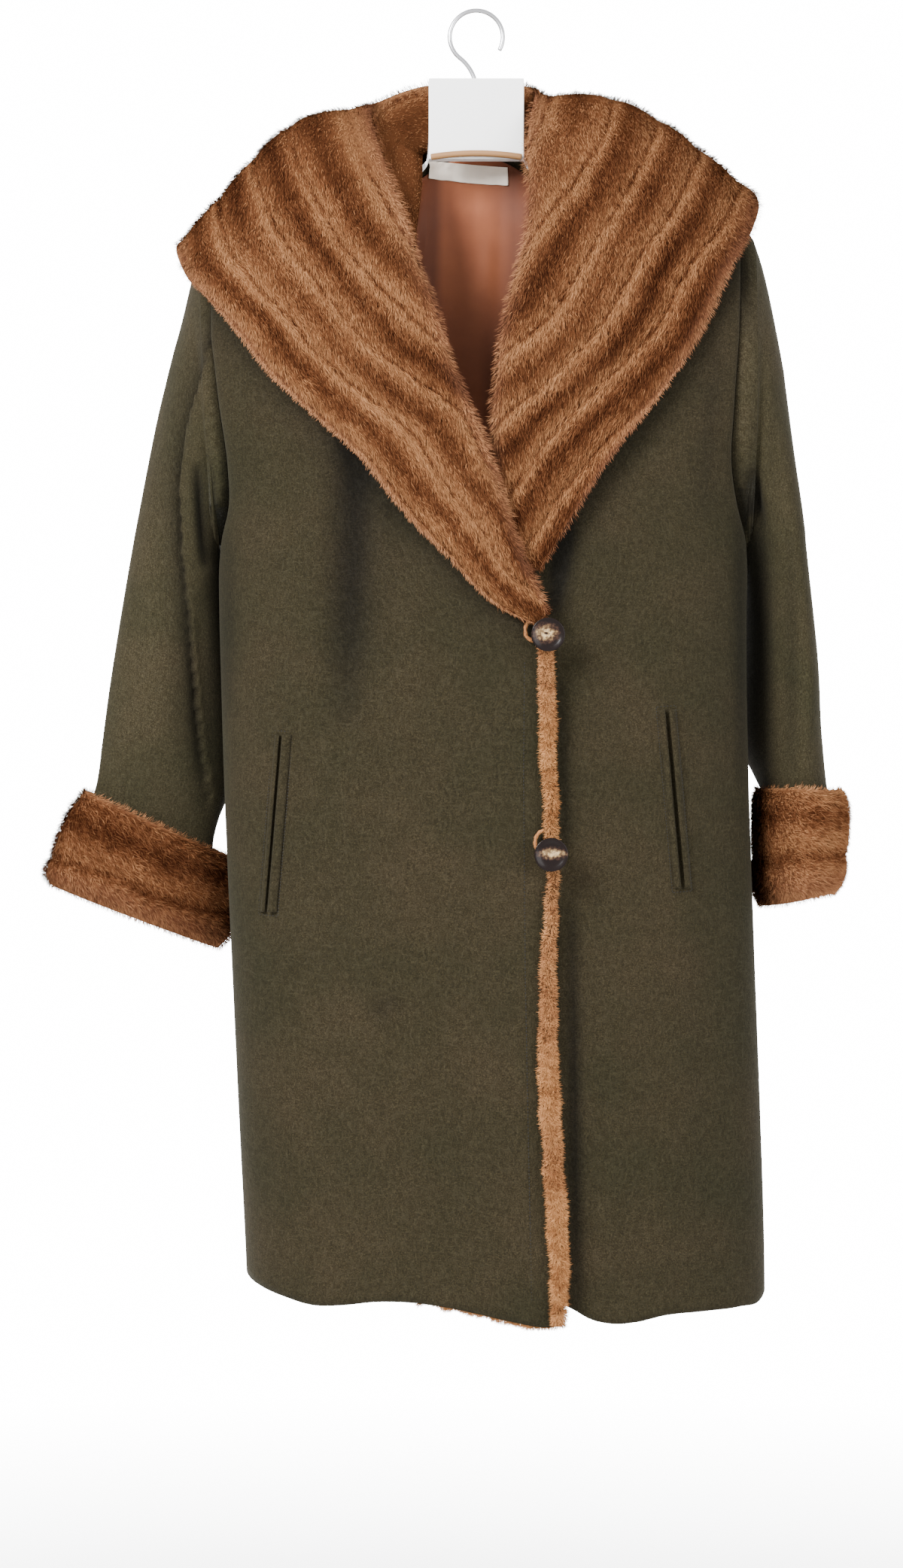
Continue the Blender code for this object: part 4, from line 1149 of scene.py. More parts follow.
@dataclass
class Trunk:
    """The coat's two fronts and back, as surfaces and as cloth pieces."""

    wardrobe: Wardrobe
    middle_x: float = 4.0
    power: float = 2.6
    chest_z: float = -300.0
    armhole_low_z: float = -480.0
    neck_hollow: float = 44.0
    chest_swell: float = 8.0
    back_hem_z: float = -1150.0
    corner_lift: float = 14.0
    corner_height: float = 47.0
    columns: int = 84
    low_rows: int = 110
    high_rows: int = 22

    def aside(self, x: Numbers, side_x: Numbers) -> np.ndarray:
        """Share of the way from the trunk's middle to its side at x."""
        return np.clip(np.abs((x - self.middle_x) / (side_x - self.middle_x)), 0, 1)

    def section_y(self, x: Numbers, side_x: Numbers, middle_y: Numbers, side_y: Numbers) -> np.ndarray:
        """Depth of the rounded section at x, from its depth in the middle and at the side."""
        u = self.aside(x, side_x)
        return side_y + (middle_y - side_y) * (1 - u**self.power) ** (1 / self.power)

    def side_fade(self, x: Numbers, side_x: Numbers) -> np.ndarray:
        """One over most of a panel and nothing at its side seam."""
        return 1 - self.aside(x, side_x) ** 6

    def front_y(self, side: int, x: Numbers, z: Numbers) -> np.ndarray:
        """Outer surface of a front below the chest line, without its fine creases."""
        layer = "over" if side < 0 else "under"
        side_x, middle, arm = BODY.at(z, SIDE_SEAM[side], layer, "arm_front")
        y = self.section_y(x, side_x, -middle, arm - GAP / 2)
        return y + crease_depth(x, z, CREASES) * self.side_fade(x, side_x)

    def back_y(self, x: Numbers, z: Numbers) -> np.ndarray:
        """Outer surface of the back below the chest line, without its fine creases."""
        left, right, middle, arm = BODY.at(z, "left", "right", "back", "arm_back")
        side_x = np.where(x < self.middle_x, left, right)
        y = self.section_y(x, side_x, middle, arm + GAP / 2)
        return y - crease_depth(x, z, BACK_CREASES) * self.side_fade(x, side_x)

    @staticmethod
    def rise(low: np.ndarray, high: np.ndarray, v: np.ndarray) -> np.ndarray:
        """Rows from the chest line up to a shoulder or neck edge, rounding over towards it."""
        v = v[:, None]
        points = low[None] + (high - low)[None] * v[..., None]
        points[..., 1] = high[None, :, 1] + (low[:, 1] - high[:, 1])[None] * round_over(v)
        return points

    def front_grid(self, side: int) -> np.ndarray:
        """Outer surface of one front, from its free edge to the side seam and hem to shoulder."""
        across = np.sin(np.linspace(0, 1, self.columns) * np.pi / 2)
        rows = np.linspace(0, 1, self.low_rows)
        z_row = HEM_NOMINAL + (self.chest_z - HEM_NOMINAL) * rows
        edge = FREE_EDGE[side].at(z_row, "x")
        side_x = BODY.at(z_row, SIDE_SEAM[side])
        x = edge[:, None] + (side_x - edge)[:, None] * across[None]
        hem = HEM[side].at(x, "z") - HEM_NOMINAL
        z = z_row[:, None] + hem * ((1 - rows) ** 2.5)[:, None]
        side_x = BODY.at(z, SIDE_SEAM[side])
        x = edge[:, None] + (side_x - edge[:, None]) * across[None]
        low = np.stack([x, self.front_y(side, x, z), z], axis=-1)
        neck = NECK_POINT * (side, 1, 1)
        top = neck + (SHOULDER_TIP[side] - neck) * across[:, None]
        top[:, 1] -= GAP / 2
        v = np.linspace(0, 1, self.high_rows)[1:]
        high = self.rise(low[-1], top, v)
        high[..., 0] += side * self.chest_swell * (np.sin(np.pi * v)[:, None] * (1 - across[None]) ** 2)
        return np.concatenate([low, high])

    def neck_and_shoulder(self, x: np.ndarray) -> np.ndarray:
        """Top edge of the back: the neck's curve between the two shoulder seams."""
        side = np.where(x < 0, -1, 1)
        tips = np.where(side[:, None] < 0, SHOULDER_TIP[-1], SHOULDER_TIP[1])
        reach = climb(np.abs(x), NECK_POINT[0], np.abs(tips[:, 0]) - NECK_POINT[0])
        hollow = np.clip(1 - (x / NECK_POINT[0]) ** 2, 0, 1)
        z = np.where(
            np.abs(x) < NECK_POINT[0],
            NECK_POINT[2] + (BACK_NECK_Z - NECK_POINT[2]) * hollow,
            NECK_POINT[2] + (tips[:, 2] - NECK_POINT[2]) * reach,
        )
        y = NECK_POINT[1] + (tips[:, 1] - NECK_POINT[1]) * reach + GAP / 2
        y += self.neck_hollow * np.sqrt(hollow)
        return np.stack([x, y, z], axis=-1)

    def back_grid(self) -> np.ndarray:
        """Outer surface of the back, from side seam to side seam and from hem to shoulders."""
        across = np.linspace(-1, 1, self.columns)
        across = 1.3 * across - 0.3 * across**3
        z_row = np.linspace(self.back_hem_z, self.chest_z, self.low_rows)
        left, right = BODY.at(z_row, "left", "right")
        x = (left + right)[:, None] / 2 + (right - left)[:, None] / 2 * across[None]
        z = np.repeat(z_row[:, None], len(across), axis=1)
        near_hem = climb(z_row, self.back_hem_z + self.corner_height, -self.corner_height)
        z = z + self.corner_lift * across[None] ** 4 * near_hem[:, None]
        low = np.stack([x, self.back_y(x, z), z], axis=-1)
        ends = SHOULDER_TIP[-1][0], SHOULDER_TIP[1][0]
        top = self.neck_and_shoulder((ends[0] + ends[1]) / 2 + (ends[1] - ends[0]) / 2 * across)
        return np.concatenate([low, self.rise(low[-1], top, np.linspace(0, 1, self.high_rows)[1:])])

    def inside_back(self, x: np.ndarray, z: np.ndarray, depth: float) -> np.ndarray:
        """Grid lying inside the back at the given depth under its outer surface."""
        x = np.broadcast_to(x, z.shape)
        top = self.neck_and_shoulder(x[0])
        chest_y = self.back_y(x, np.full_like(z, self.chest_z))
        v = climb(z, self.chest_z, top[:, 2] - self.chest_z)
        over = top[:, 1] + (chest_y - top[:, 1]) * round_over(v)
        grid = np.stack([x, np.where(z < self.chest_z, self.back_y(x, z), over), z], axis=-1)
        return grid + grid_normals(grid, False) * depth

    def on_front(self, side: int, x: Numbers, z: Numbers, lift: Numbers) -> np.ndarray:
        """Points on a front, moved out by the lift."""
        here = np.stack([x, self.front_y(side, x, z), z], axis=-1)
        right = np.stack([x + 1.0, self.front_y(side, x + 1.0, z), z], axis=-1)
        above = np.stack([x, self.front_y(side, x, z + 1.0), z + 1.0], axis=-1)
        return here + unit(np.cross(right - here, above - here)) * np.asarray(lift)[..., None]

    def armhole_ring(self, side: int, turn: np.ndarray) -> np.ndarray:
        """The armhole seam as a ring that starts at the shoulder tip and runs down the front."""
        tip, low_z = SHOULDER_TIP[side], self.armhole_low_z
        z = (tip[2] + low_z) / 2 + (tip[2] - low_z) / 2 * np.cos(turn)
        x, front, back = BODY.at(z, SIDE_SEAM[side], "arm_front", "arm_back")
        v = climb(z, self.chest_z, tip[2] - self.chest_z)
        x = np.where(z > self.chest_z, x + (tip[0] - x) * v, x)
        y = np.where(np.sin(turn) > 0, front, back)
        y = np.where(z > self.chest_z, tip[1] + (y - tip[1]) * round_over(v), y)
        return np.stack([x + side * 0.5, y, z], axis=-1)

    def dress_cloth(self, node: str, grid: np.ndarray, outward: int, dent: np.ndarray) -> None:
        """Presses fine creases into a grid and makes it a cloth piece.

        Args: node: the frame's node that it stands for. grid: its outer surface.
            outward: its normal's sign. dent: depth of the fine creases.
        """
        normal = grid_normals(grid, False) * outward
        outer = grid - normal * dent[..., None]
        inner = outer - normal * CLOTH_WALL
        is_front = node != "back"
        seams = [np.s_[:, -1:], np.s_[-1:, :]] + ([] if is_front else [np.s_[:, :1]])
        for seam in seams:
            inner[seam][..., 1] = outer[seam][..., 1]
        obj = wall("wool_" + node, outer, inner, outward)
        if is_front:
            # Painted shade on the fronts: darker in the listed folds, beside the closing edge and in a band
            # along each of the collar's edges, stored as fold.
            fold = crease_depth(grid[..., 0], grid[..., 2], SHADES)
            for line in COLLAR_EDGES:
                fold += 0.5 * np.exp(-np.abs(line_distance(grid[..., 0], grid[..., 2], line)) / 15)
            put_painted_shade(obj, fold)
        finish_piece(obj, node, self.wardrobe.wool, self.wardrobe.wool)

    def dent_of(self, grid: np.ndarray, creases: tuple, seed: int) -> np.ndarray:
        """Fine creases and soft unevenness of a panel, fading out towards its seams and rims."""
        x, z = grid[..., 0], grid[..., 2]
        side_x = np.where(x < self.middle_x, BODY.at(z, "left"), BODY.at(z, "right"))
        dent = crease_depth(x, z, creases) + 0.55 * mottle(x, z, seed, 74)
        dent += 0.25 * mottle(x, z, seed + 1, 31)
        rim = np.clip(np.arange(len(grid))[::-1] / 8, 0, 1)[:, None]
        return (dent + 0.8) * self.side_fade(x, side_x) * rim

    def build(self) -> None:
        """Makes the two fronts and the back."""
        for side in Side:
            grid = self.front_grid(side.value)
            dent = self.dent_of(grid, FINE_CREASES, 40 + side.value)
            dent += self.pocket_dent(side.value, grid)
            self.dress_cloth(f"front_{side.word}", grid, side.value, dent)
        grid = self.back_grid()
        self.dress_cloth("back", grid, -1, self.dent_of(grid, FINE_BACK_CREASES, 44))

    @staticmethod
    def pocket_dent(side: int, grid: np.ndarray) -> np.ndarray:
        """Hollow under a pocket's mouth."""
        (x0, z0), (x1, z1) = POCKET_LINE[side]
        return crease_depth(grid[..., 0], grid[..., 2], ((x0, z0 + 4, x1, z1 - 4, 3.2, 2.0),))


@dataclass
class Sleeve:
    """One sleeve, set into the armhole and ending inside its cuff."""

    side: Side
    trunk: Trunk
    rows: int = 90
    columns: int = 112
    hug_out: float = 9.0
    hug_back: float = 15.0

    def build(self) -> None:
        """Makes the sleeve."""
        sign = self.side.value
        turn = np.linspace(0, 2 * np.pi, self.columns, endpoint=False)
        rings = [self.trunk.armhole_ring(sign, turn)]
        places = np.linspace(1, 14, self.rows - 1)
        rings += [ring(SLEEVE[sign], s, turn) for s in places]
        grid = np.stack(rings)
        hug = climb(places, 0.8, 1.2) * climb(places, 11.5, -2)
        hug = np.concatenate([[0.0], hug])[:, None] * (0.5 - 0.5 * np.cos(turn))[None] ** 2
        grid[..., 0] -= sign * hug * self.hug_out
        grid[..., 1] += hug * self.hug_back
        normal = grid_normals(grid, True) * sign
        x, z = grid[..., 0], grid[..., 2]
        front = np.clip(np.sin(turn) * 3, 0, 1)[None]
        back = np.clip(-np.sin(turn) * 3, 0, 1)[None]
        dent = crease_depth(x, z, SLEEVE_CREASES[sign, -1]) * front
        dent += crease_depth(x, z, SLEEVE_CREASES[sign, 1]) * back
        around = np.linspace(0, 420, self.columns, endpoint=False)[None]
        uneven = mottle(around, z, 60 + sign, 58) * np.sin(turn / 2)[None] ** 0.3
        dent += 0.7 * uneven + 0.7
        # Painted shade on the sleeves: darker in the listed folds, and on the right sleeve beside its
        # fold's edge, stored as fold.
        fold = crease_depth(x, z, SLEEVE_SHADES[sign]) * front
        if self.side is Side.RIGHT:
            away = line_distance(x, z, SLEEVE_FOLD)
            fade = front * np.clip((z + 760) / 120, 0.3, 1)
            dent += fade * np.where(away < 0, 7.5 * np.exp(away / 10), -1.6 * np.exp(-away / 12))
            fold += fade * np.where(away < 0, 0.85 * np.exp(away / 11), 0.2 * np.exp(-away / 5))
        ease = np.clip(np.arange(self.rows) / 9, 0, 1)[:, None] * climb(z, -800, 60)
        outer = grid - normal * (dent * ease)[..., None]
        inner = outer - normal * CLOTH_WALL
        obj = wall(f"wool_sleeve_{self.side.word}", outer, inner, sign, wrap=True)
        put_painted_shade(obj, fold)
        wool = self.trunk.wardrobe.sleeve_wool
        finish_piece(obj, f"sleeve_{self.side.word}", wool, wool)


def ring(table: Table, s: float, turn: np.ndarray) -> np.ndarray:
    """One ring of a sleeve or cuff: outer point at turn 0, front at a quarter turn."""
    outer, inner = table.points(s, "outer"), table.points(s, "inner")
    front, back, lean = table.at(s, "front", "back", "lean")
    sine = np.sin(turn)
    points = (outer + inner) / 2 + (outer - inner) / 2 * np.cos(turn)[:, None]
    points[:, 1] -= np.where(sine > 0, front, back) * sine
    points[:, 0] += lean * np.where(sine > 0, sine**2, 0)
    return points


# ---------------------------------------------------------------- fur pieces


@dataclass
class Collar:
    """The shawl collar: a skin with let-out pelt strips, and three fields of hair on it."""

    wardrobe: Wardrobe
    last: int = 34
    margin: float = 0.1
    crowding: float = 0.93
    thickness: float = 11.5
    stations: int = 210
    steps: int = 48
    hairs: tuple = (85000, 52000, 81000)
    pelt: float = 45.0
    fine: int = 5
    cut: PileCut = PileCut()

    def section(self, s: np.ndarray, steps: np.ndarray) -> np.ndarray:
        """Outer surface of the collar: stations along it by steps across it."""
        seam, roll, edge = (COLLAR.points(s, stem) for stem in ("seam", "roll", "edge"))
        rise, bend = COLLAR.at(s, "rise", "bend")
        bend = bend[:, None]
        fall = edge - roll
        outward = -unit(np.cross(fall, np.gradient((roll + edge) / 2, axis=0)))
        sink = outward * np.sum(fall * 0.5 * outward, axis=1)[:, None]
        up = -unit((seam - roll) * 0.5 + fall * 0.5 - sink)
        puff = (8.0 * hump(s, 13.8, 1.3))[:, None] * outward
        knots = [0.0, 0.14, 0.2, 0.26]
        lines = [
            seam,
            roll - outward * bend - up * bend * 0.9,
            roll - outward * bend * 0.15,
            roll + outward * bend * 0.55 - up * bend * 0.9 + puff * 0.8,
        ]
        for t in (0.25, 0.45, 0.65, 0.85, 1.0):
            lifted = roll + fall * t + outward * (rise * np.sin(np.pi * t**0.8))[:, None]
            lines.append(lifted + puff * max(0.0, 1.3 - 2 * t))
            knots.append(0.2 + 0.8 * t)
        lines = np.stack(lines, axis=0)
        return np.swapaxes(smooth(steps, np.array(knots), lines), 0, 1)

    def strip_place(self, s: np.ndarray, t: np.ndarray) -> np.ndarray:
        """Which strip a place lies in, with its place across that strip as the fraction."""
        knots = np.arange(self.last + 1.0)
        width = np.linalg.norm(COLLAR.points(knots, "edge") - COLLAR.points(knots, "roll"), axis=1)
        width = np.interp(s, knots, width)
        inwards = (1 - (t - 0.2) / 0.8) * width * (1 + 0.16 * np.clip(6 - s, 0, 5))
        shift = np.interp(s, (0, 14, 21, 34), (8, 8, 13, 80))
        wander = 0.09 * mottle(s, t * 0, 71, 2.3) + 0.05 * mottle(s, t * 4, 72, 0.8)
        return 7 - (inwards - shift) / self.pelt + wander

    def relief(self, s: np.ndarray, t: np.ndarray) -> np.ndarray:
        """Height of the strips' pillows over their seams."""
        share = self.strip_place(s, t) % 1.0
        pillow = np.clip(np.sin(np.pi * share), 0, 1) ** 0.6 - 0.7
        return 3.0 * pillow * climb(t, 0.16, 0.1)

    def tones(self, s: np.ndarray, t: np.ndarray) -> tuple:
        """Tone and tint of the fur over the collar, with painted shade on the stand and painted highlight
        along the roll line and the outer edge. Returns: two grids.
        """
        place = self.strip_place(s, t)
        share, strip = place % 1.0, np.floor(place).astype(int)
        own = np.random.default_rng(5).uniform(-0.06, 0.06, 40)[strip % 40]
        middle = 0.50 + 0.10 * mottle(s, strip * 1.7, 73, 3.1)
        deep = 0.25 + 0.20 * mottle(s, strip * 2.3, 76, 2.2)
        dark = deep * hump(share, middle, 0.20)
        ridge = hump(share, 0.13, 0.09) + 0.5 * hump(share, 0.90, 0.07)
        seam = hump(np.minimum(share, 1 - share), 0.0, 0.026)
        patch = mottle(s, t * 12, 74, 1.6) * 0.03 + mottle(s, t * 6, 75, 3.5) * 0.08
        tone = 0.62 + own + patch - dark + 0.17 * ridge - 0.42 * seam
        # Painted shade: the stand, inside the neck under the roll, turns darker.
        stand = climb(t, 0.17, -0.1)
        tone = tone * (1 - 0.5 * stand) + (0.30 + 0.12 * mottle(s, t * 30, 77, 0.7)) * 0.5 * stand
        # Painted highlight: lighter along the roll line and the outer edge, where the fur turns over.
        tint_and_highlight = hump(t, 0.215, 0.05) + climb(t, 0.93, 0.06)
        return tone + 0.13 * tint_and_highlight, np.clip(tint_and_highlight, 0, 1)

    def field(self) -> tuple:
        """The skin's grids. Returns: the pelt field and the grid of its inner face."""
        ends = self.margin, self.last - self.margin
        s = np.linspace(*ends, self.stations)
        steps = np.linspace(0, 1, self.steps) ** self.crowding
        grid = self.section(s, steps)
        ss, tt = np.broadcast_arrays(s[:, None], steps[None])
        normal = -grid_normals(grid, False)
        across = smooth(
            steps,
            np.array([0, 0.14, 0.2, 0.3, 0.5, 0.88, 1.0]),
            np.array([5.0, 5.0, 5.5, 9.5, self.thickness, self.thickness, 8.5]),
        )
        tips = np.clip(0.62 + np.minimum(s, self.last - s) * 0.19, 0, 1)
        thick = tips[:, None] * across[None]
        relief = self.relief(ss, tt)[..., None]
        top = grid + normal * relief
        skin = top - normal * (thick * 0.38)[..., None]
        inner = grid - normal * thick[..., None]
        edge = climb(tt, 0.90, 0.10)[..., None] ** 2
        inward = -unit(np.gradient(grid, axis=1)) * edge * 3.2
        skin, inner = skin + inward, inner + inward * 0.8
        along = unit(np.gradient(grid, axis=0)) * np.where(ss < 18, -1, 1)[..., None]
        down = unit(np.gradient(grid, axis=1))
        outwards = 0.22 + 0.75 * climb(tt, 0.88, 0.12) - 1.5 * hump(tt, 0.19, 0.055)
        lie = unit(along + down * outwards[..., None])
        tint_and_highlight = self.tones(ss, tt)[1]
        fine_s = np.linspace(*ends, (self.stations - 1) * self.fine + 1)[:, None]
        fine_t = np.linspace(0, 1, (self.steps - 1) * self.fine + 1)[None] ** self.crowding
        tone = self.tones(*np.broadcast_arrays(fine_s, fine_t))[0]
        share = np.clip(thick / self.thickness, 0.6, 1.0) + 0.35 * hump(tt, 0.2, 0.07)
        lit = -grid_normals(grid + normal * relief * 1.9, False)
        return PeltField(skin, lit, lie, tone, tint_and_highlight, share), inner

    def build(self) -> None:
        """Makes the skin and its hair."""
        field, inner = self.field()
        fur = self.wardrobe.pile
        make_skin("fur_collar", field, inner, -1, "collar", fur, self.wardrobe.wool)
        cuts = [round((self.stations - 1) * share) for share in (0.0, 0.365, 0.66, 1.0)]
        words = ("right", "back", "left")
        for seed, (word, first, last, hairs) in enumerate(zip(words, cuts, cuts[1:], self.hairs), 11):
            part = field.rows(first, last)
            grow_pile(f"collar_pile_{word}", part, self.cut, hairs, seed, "collar", fur)


@dataclass
class Cuff:
    """A turned-back fur cuff: strips run round the arm."""

    side: Side
    wardrobe: Wardrobe
    rows: int = 30
    columns: int = 96
    hairs: int = 38000
    thickness: float = 11.0
    cut: PileCut = PileCut(length=9.8, lift=36.0, stray=0.4, clump=4.0)

    def build(self) -> None:
        """Makes the skin and its hair."""
        sign = self.side.value
        turn = np.linspace(0, 2 * np.pi, self.columns, endpoint=False)
        s = np.linspace(0.15, 4.85, self.rows)
        grid = np.stack([ring(CUFF[sign], place, turn) for place in s])
        normal = grid_normals(grid, True) * sign
        share = smooth(s, np.array([0, 0.8, 1.7, 2.5, 3.3, 4.2, 5.0]),
                       np.array([0.5, 0.85, 0.95, 0.95, 0.9, 0.85, 0.5]))
        thick = self.thickness * share[:, None]
        ss, around = np.broadcast_arrays(s[:, None] / 5, np.cos(turn)[None] * 2 + np.sin(turn)[None])
        place = ss + 0.025 * mottle(around, ss, 81 + sign, 0.7)
        groove = hump(place, 0.64, 0.035) + 0.6 * hump(place, 0.22, 0.03)
        top = grid - normal * (1.7 * groove)[..., None]
        skin = top - normal * (thick * 0.5)[..., None]
        inner = grid - normal * thick[..., None]
        band = hump(place, 0.38, 0.09) + 0.35 * hump(place, 0.80, 0.08)
        pale = climb(place, 0.14, -0.12) + 0.8 * climb(place, 0.70, 0.2)
        patch = 0.07 * mottle(around * 3, ss * 6, 83 + sign, 1.3)
        # Painted light: the wearer's left cuff is a little lighter than the right, though both are the same
        # fur.
        tone = 0.63 + 0.06 * sign - 0.30 * band - 0.26 * groove + 0.14 * pale + patch
        tint_and_highlight = 0.5 * pale + 0.35 * climb(place, 0.66, 0.1)
        round_way = unit(np.roll(grid, -1, axis=1) - np.roll(grid, 1, axis=1))
        down = unit(np.gradient(grid, axis=0))
        away = climb(place, 0.85, 0.15) - climb(place, 0.12, -0.12)
        lie = unit(round_way * -sign * 0.7 + down * (0.35 + 1.6 * away)[..., None])
        lit = grid_normals(grid - normal * (3.6 * groove)[..., None], True) * sign
        field = PeltField(skin, lit, lie, tone, tint_and_highlight, np.clip(share[:, None] + 0 * tone, 0.6, 1))
        node, fur = f"cuff_{self.side.word}", self.wardrobe.pile
        make_skin("fur_" + node, field, inner, sign, node, fur, self.wardrobe.lining, wrap=True)
        name = f"cuff_pile_{self.side.word}"
        grow_pile(name, field.wrapped(), self.cut, self.hairs, 20 + sign, node, fur)


@dataclass
class EdgeTrim:
    """The narrow fur strip down the closing edge."""

    wardrobe: Wardrobe
    trunk: Trunk
    ends: tuple = (-1169, -568)
    rows: int = 300
    columns: int = 12
    hairs: int = 27000
    thickness: float = 9.0
    last_x: float = 60.0
    cut: PileCut = PileCut(length=7.2, lift=46.0, width=0.5, stray=0.8, clump=2.4, ruffle=0.42)

    def build(self) -> None:
        """Makes the skin and its hair."""
        z = np.linspace(*self.ends, self.rows)[:, None]
        left, right = TRIM.at(z, "left", "right")
        wavy = 1.3 * mottle(z, 0 * z, 91, 17)
        across = np.linspace(0.19, 0.81, self.columns)[None]
        x = left + (right - left) * across + wavy
        crown = np.repeat(np.sin(np.pi * (0.12 + 0.76 * across)) ** 0.6, self.rows, axis=0)
        thick = self.thickness * crown
        zz = np.repeat(z, self.columns, axis=1)
        beyond = np.stack([np.maximum(x - self.last_x, 0), 0 * x, 0 * x], axis=-1)
        grid = self.trunk.on_front(-1, np.minimum(x, self.last_x), zz, GAP + 0.2 + thick) + beyond
        normal = grid_normals(grid, False)
        slant = zz / 27 + 0.35 * across + 0.5 * mottle(zz, x, 92, 30)
        clumps = hump(slant % 1, 0.5, 0.13)
        top = grid - normal * (1.0 * clumps)[..., None]
        skin = top - normal * (thick * 0.45)[..., None]
        inner = grid - normal * (thick * 0.97)[..., None]
        tone = 0.68 - 0.12 * clumps + 0.17 * mottle(zz, x, 93, 5) - 0.10 * hump(across, 0.0, 0.16)
        tint_and_highlight = 0.35 + 0.3 * mottle(zz, 0 * zz, 94, 60)
        aside = unit(np.gradient(grid, axis=1)) * np.tanh((across - 0.45) * 5)[..., None]
        down = -unit(np.gradient(grid, axis=0))
        spread = np.abs(across - 0.5)[..., None] * 2
        lie = unit(down * 0.8 + aside * (0.3 + 1.1 * spread))
        field = PeltField(skin, normal, lie, tone, np.clip(tint_and_highlight, 0, 1), np.ones_like(tone))
        node, fur = "front_edge_trim", self.wardrobe.pale_pile
        make_skin("fur_edge_trim", field, inner, 1, node, fur, self.wardrobe.wool)
        grow_pile("edge_trim_pile", field, self.cut, self.hairs, 31, node, fur)


@dataclass
class EdgeFacing:
    """What shows of the fur facing behind the closing edge: its fringe, and the seam that holds it."""

    wardrobe: Wardrobe
    trunk: Trunk
    ends: tuple = (-52, 66)
    facing_gap: float = 0.9
    hairs: int = 2600
    stitch: float = 3.0
    cut: PileCut = PileCut(length=6.5, lift=6.0, width=0.4, stray=0.5, clump=4.0)

    def fringe(self) -> None:
        """Makes the hair that hangs out under the hem."""
        x = np.linspace(*self.ends, 80)[None]
        z = HEM[-1].at(x, "z") + np.array([[0.5], [3.5]])
        shape = z.shape
        behind = np.full(shape, -CLOTH_WALL - self.facing_gap)
        root = self.trunk.on_front(-1, np.repeat(x, 2, axis=0), z, behind)
        normal = np.broadcast_to((0.0, -1.0, 0.0), root.shape)
        lie = np.broadcast_to((-0.25, 0.0, -1.0), root.shape)
        share = 0.8 + 0.45 * mottle(x, z * 0, 121, 9)
        field = PeltField(root, normal, lie, np.full(shape, 0.72), np.full(shape, 0.4), share)
        fur = self.wardrobe.pale_pile
        grow_pile("hem_facing_pile", field, self.cut, self.hairs, 36, "front_edge_trim", fur)

    def seam(self) -> None:
        """Makes the line of stitches beside the fur strip."""
        places = np.array([(41.5, -590), (40.6, -690), (42.0, -860), (44.5, -1000), (47.6, -1148)])
        lines = list(zip(places, places[1:]))
        stitch_runs("thread_front_edge", self.trunk, -1, lines, self.stitch, "front_right")


# ---------------------------------------------------------------- small pieces


@dataclass
class Pocket:
    """A slanted pocket with two welts and a line of stitches round them."""

    side: Side
    wardrobe: Wardrobe
    trunk: Trunk
    mouth: float = 3.6
    welt: float = 5.4
    depth: float = 2.0
    stitch: float = 2.6
    end_margin: float = 3.0
    side_margin: float = 1.7
    rows: int = 60

    def jet(self, edge: int, word: str) -> None:
        """Makes one welt. Args: edge: -1 or +1, which side of the mouth. word: its name's end."""
        (x0, z0), (x1, z1) = POCKET_LINE[self.side.value]
        t = np.linspace(0, 1, self.rows)[:, None]
        across = np.linspace(0, 1, 9)[None]
        x = x0 + (x1 - x0) * t + edge * (self.mouth / 2 + self.welt * across)
        z = z0 + (z1 - z0) * t + 0 * across
        fold = np.sin(np.pi * np.clip(across * 0.86 + 0.10, 0, 1)) ** 0.5
        lift = GAP + self.depth * (0.35 + 0.75 * fold) + 0.15 * mottle(t * 90, across, 101, 14)
        lift = lift - (GAP + self.depth) * climb(across, 0.35, 0.65) ** 1.5 * 0.9
        outer = self.trunk.on_front(self.side.value, x, z, lift)
        inner = outer - grid_normals(outer, False) * self.depth * 0.75
        node = f"pocket_{self.side.word}_jet_{word}"
        outward = 1 if grid_normals(outer[::-1], False)[..., 1].mean() < 0 else -1
        obj = wall(f"wool_{node}", outer[::-1], inner[::-1], outward)
        finish_piece(obj, node, self.wardrobe.wool_welt, self.wardrobe.wool_welt)

    def stitches(self) -> None:
        """Makes the run of short stitches round the welts and past their ends."""
        first, last = np.array(POCKET_LINE[self.side.value])
        way = (last - first) / np.hypot(*(last - first))
        past = self.end_margin * way
        aside = np.array([-way[1], way[0]]) * (self.mouth / 2 + self.welt + self.side_margin)
        corners = [first - past + aside, last + past + aside, last + past - aside, first - past - aside]
        lines = list(zip(corners, corners[1:] + corners[:1]))
        name, node = f"thread_pocket_{self.side.word}", f"pocket_{self.side.word}_jet_outer"
        stitch_runs(name, self.trunk, self.side.value, lines, self.stitch, node)

    def build(self) -> None:
        """Makes the pocket."""
        for edge in (-1, 1):
            self.jet(edge, "inner" if edge == -self.side.value else "outer")
        self.stitches()


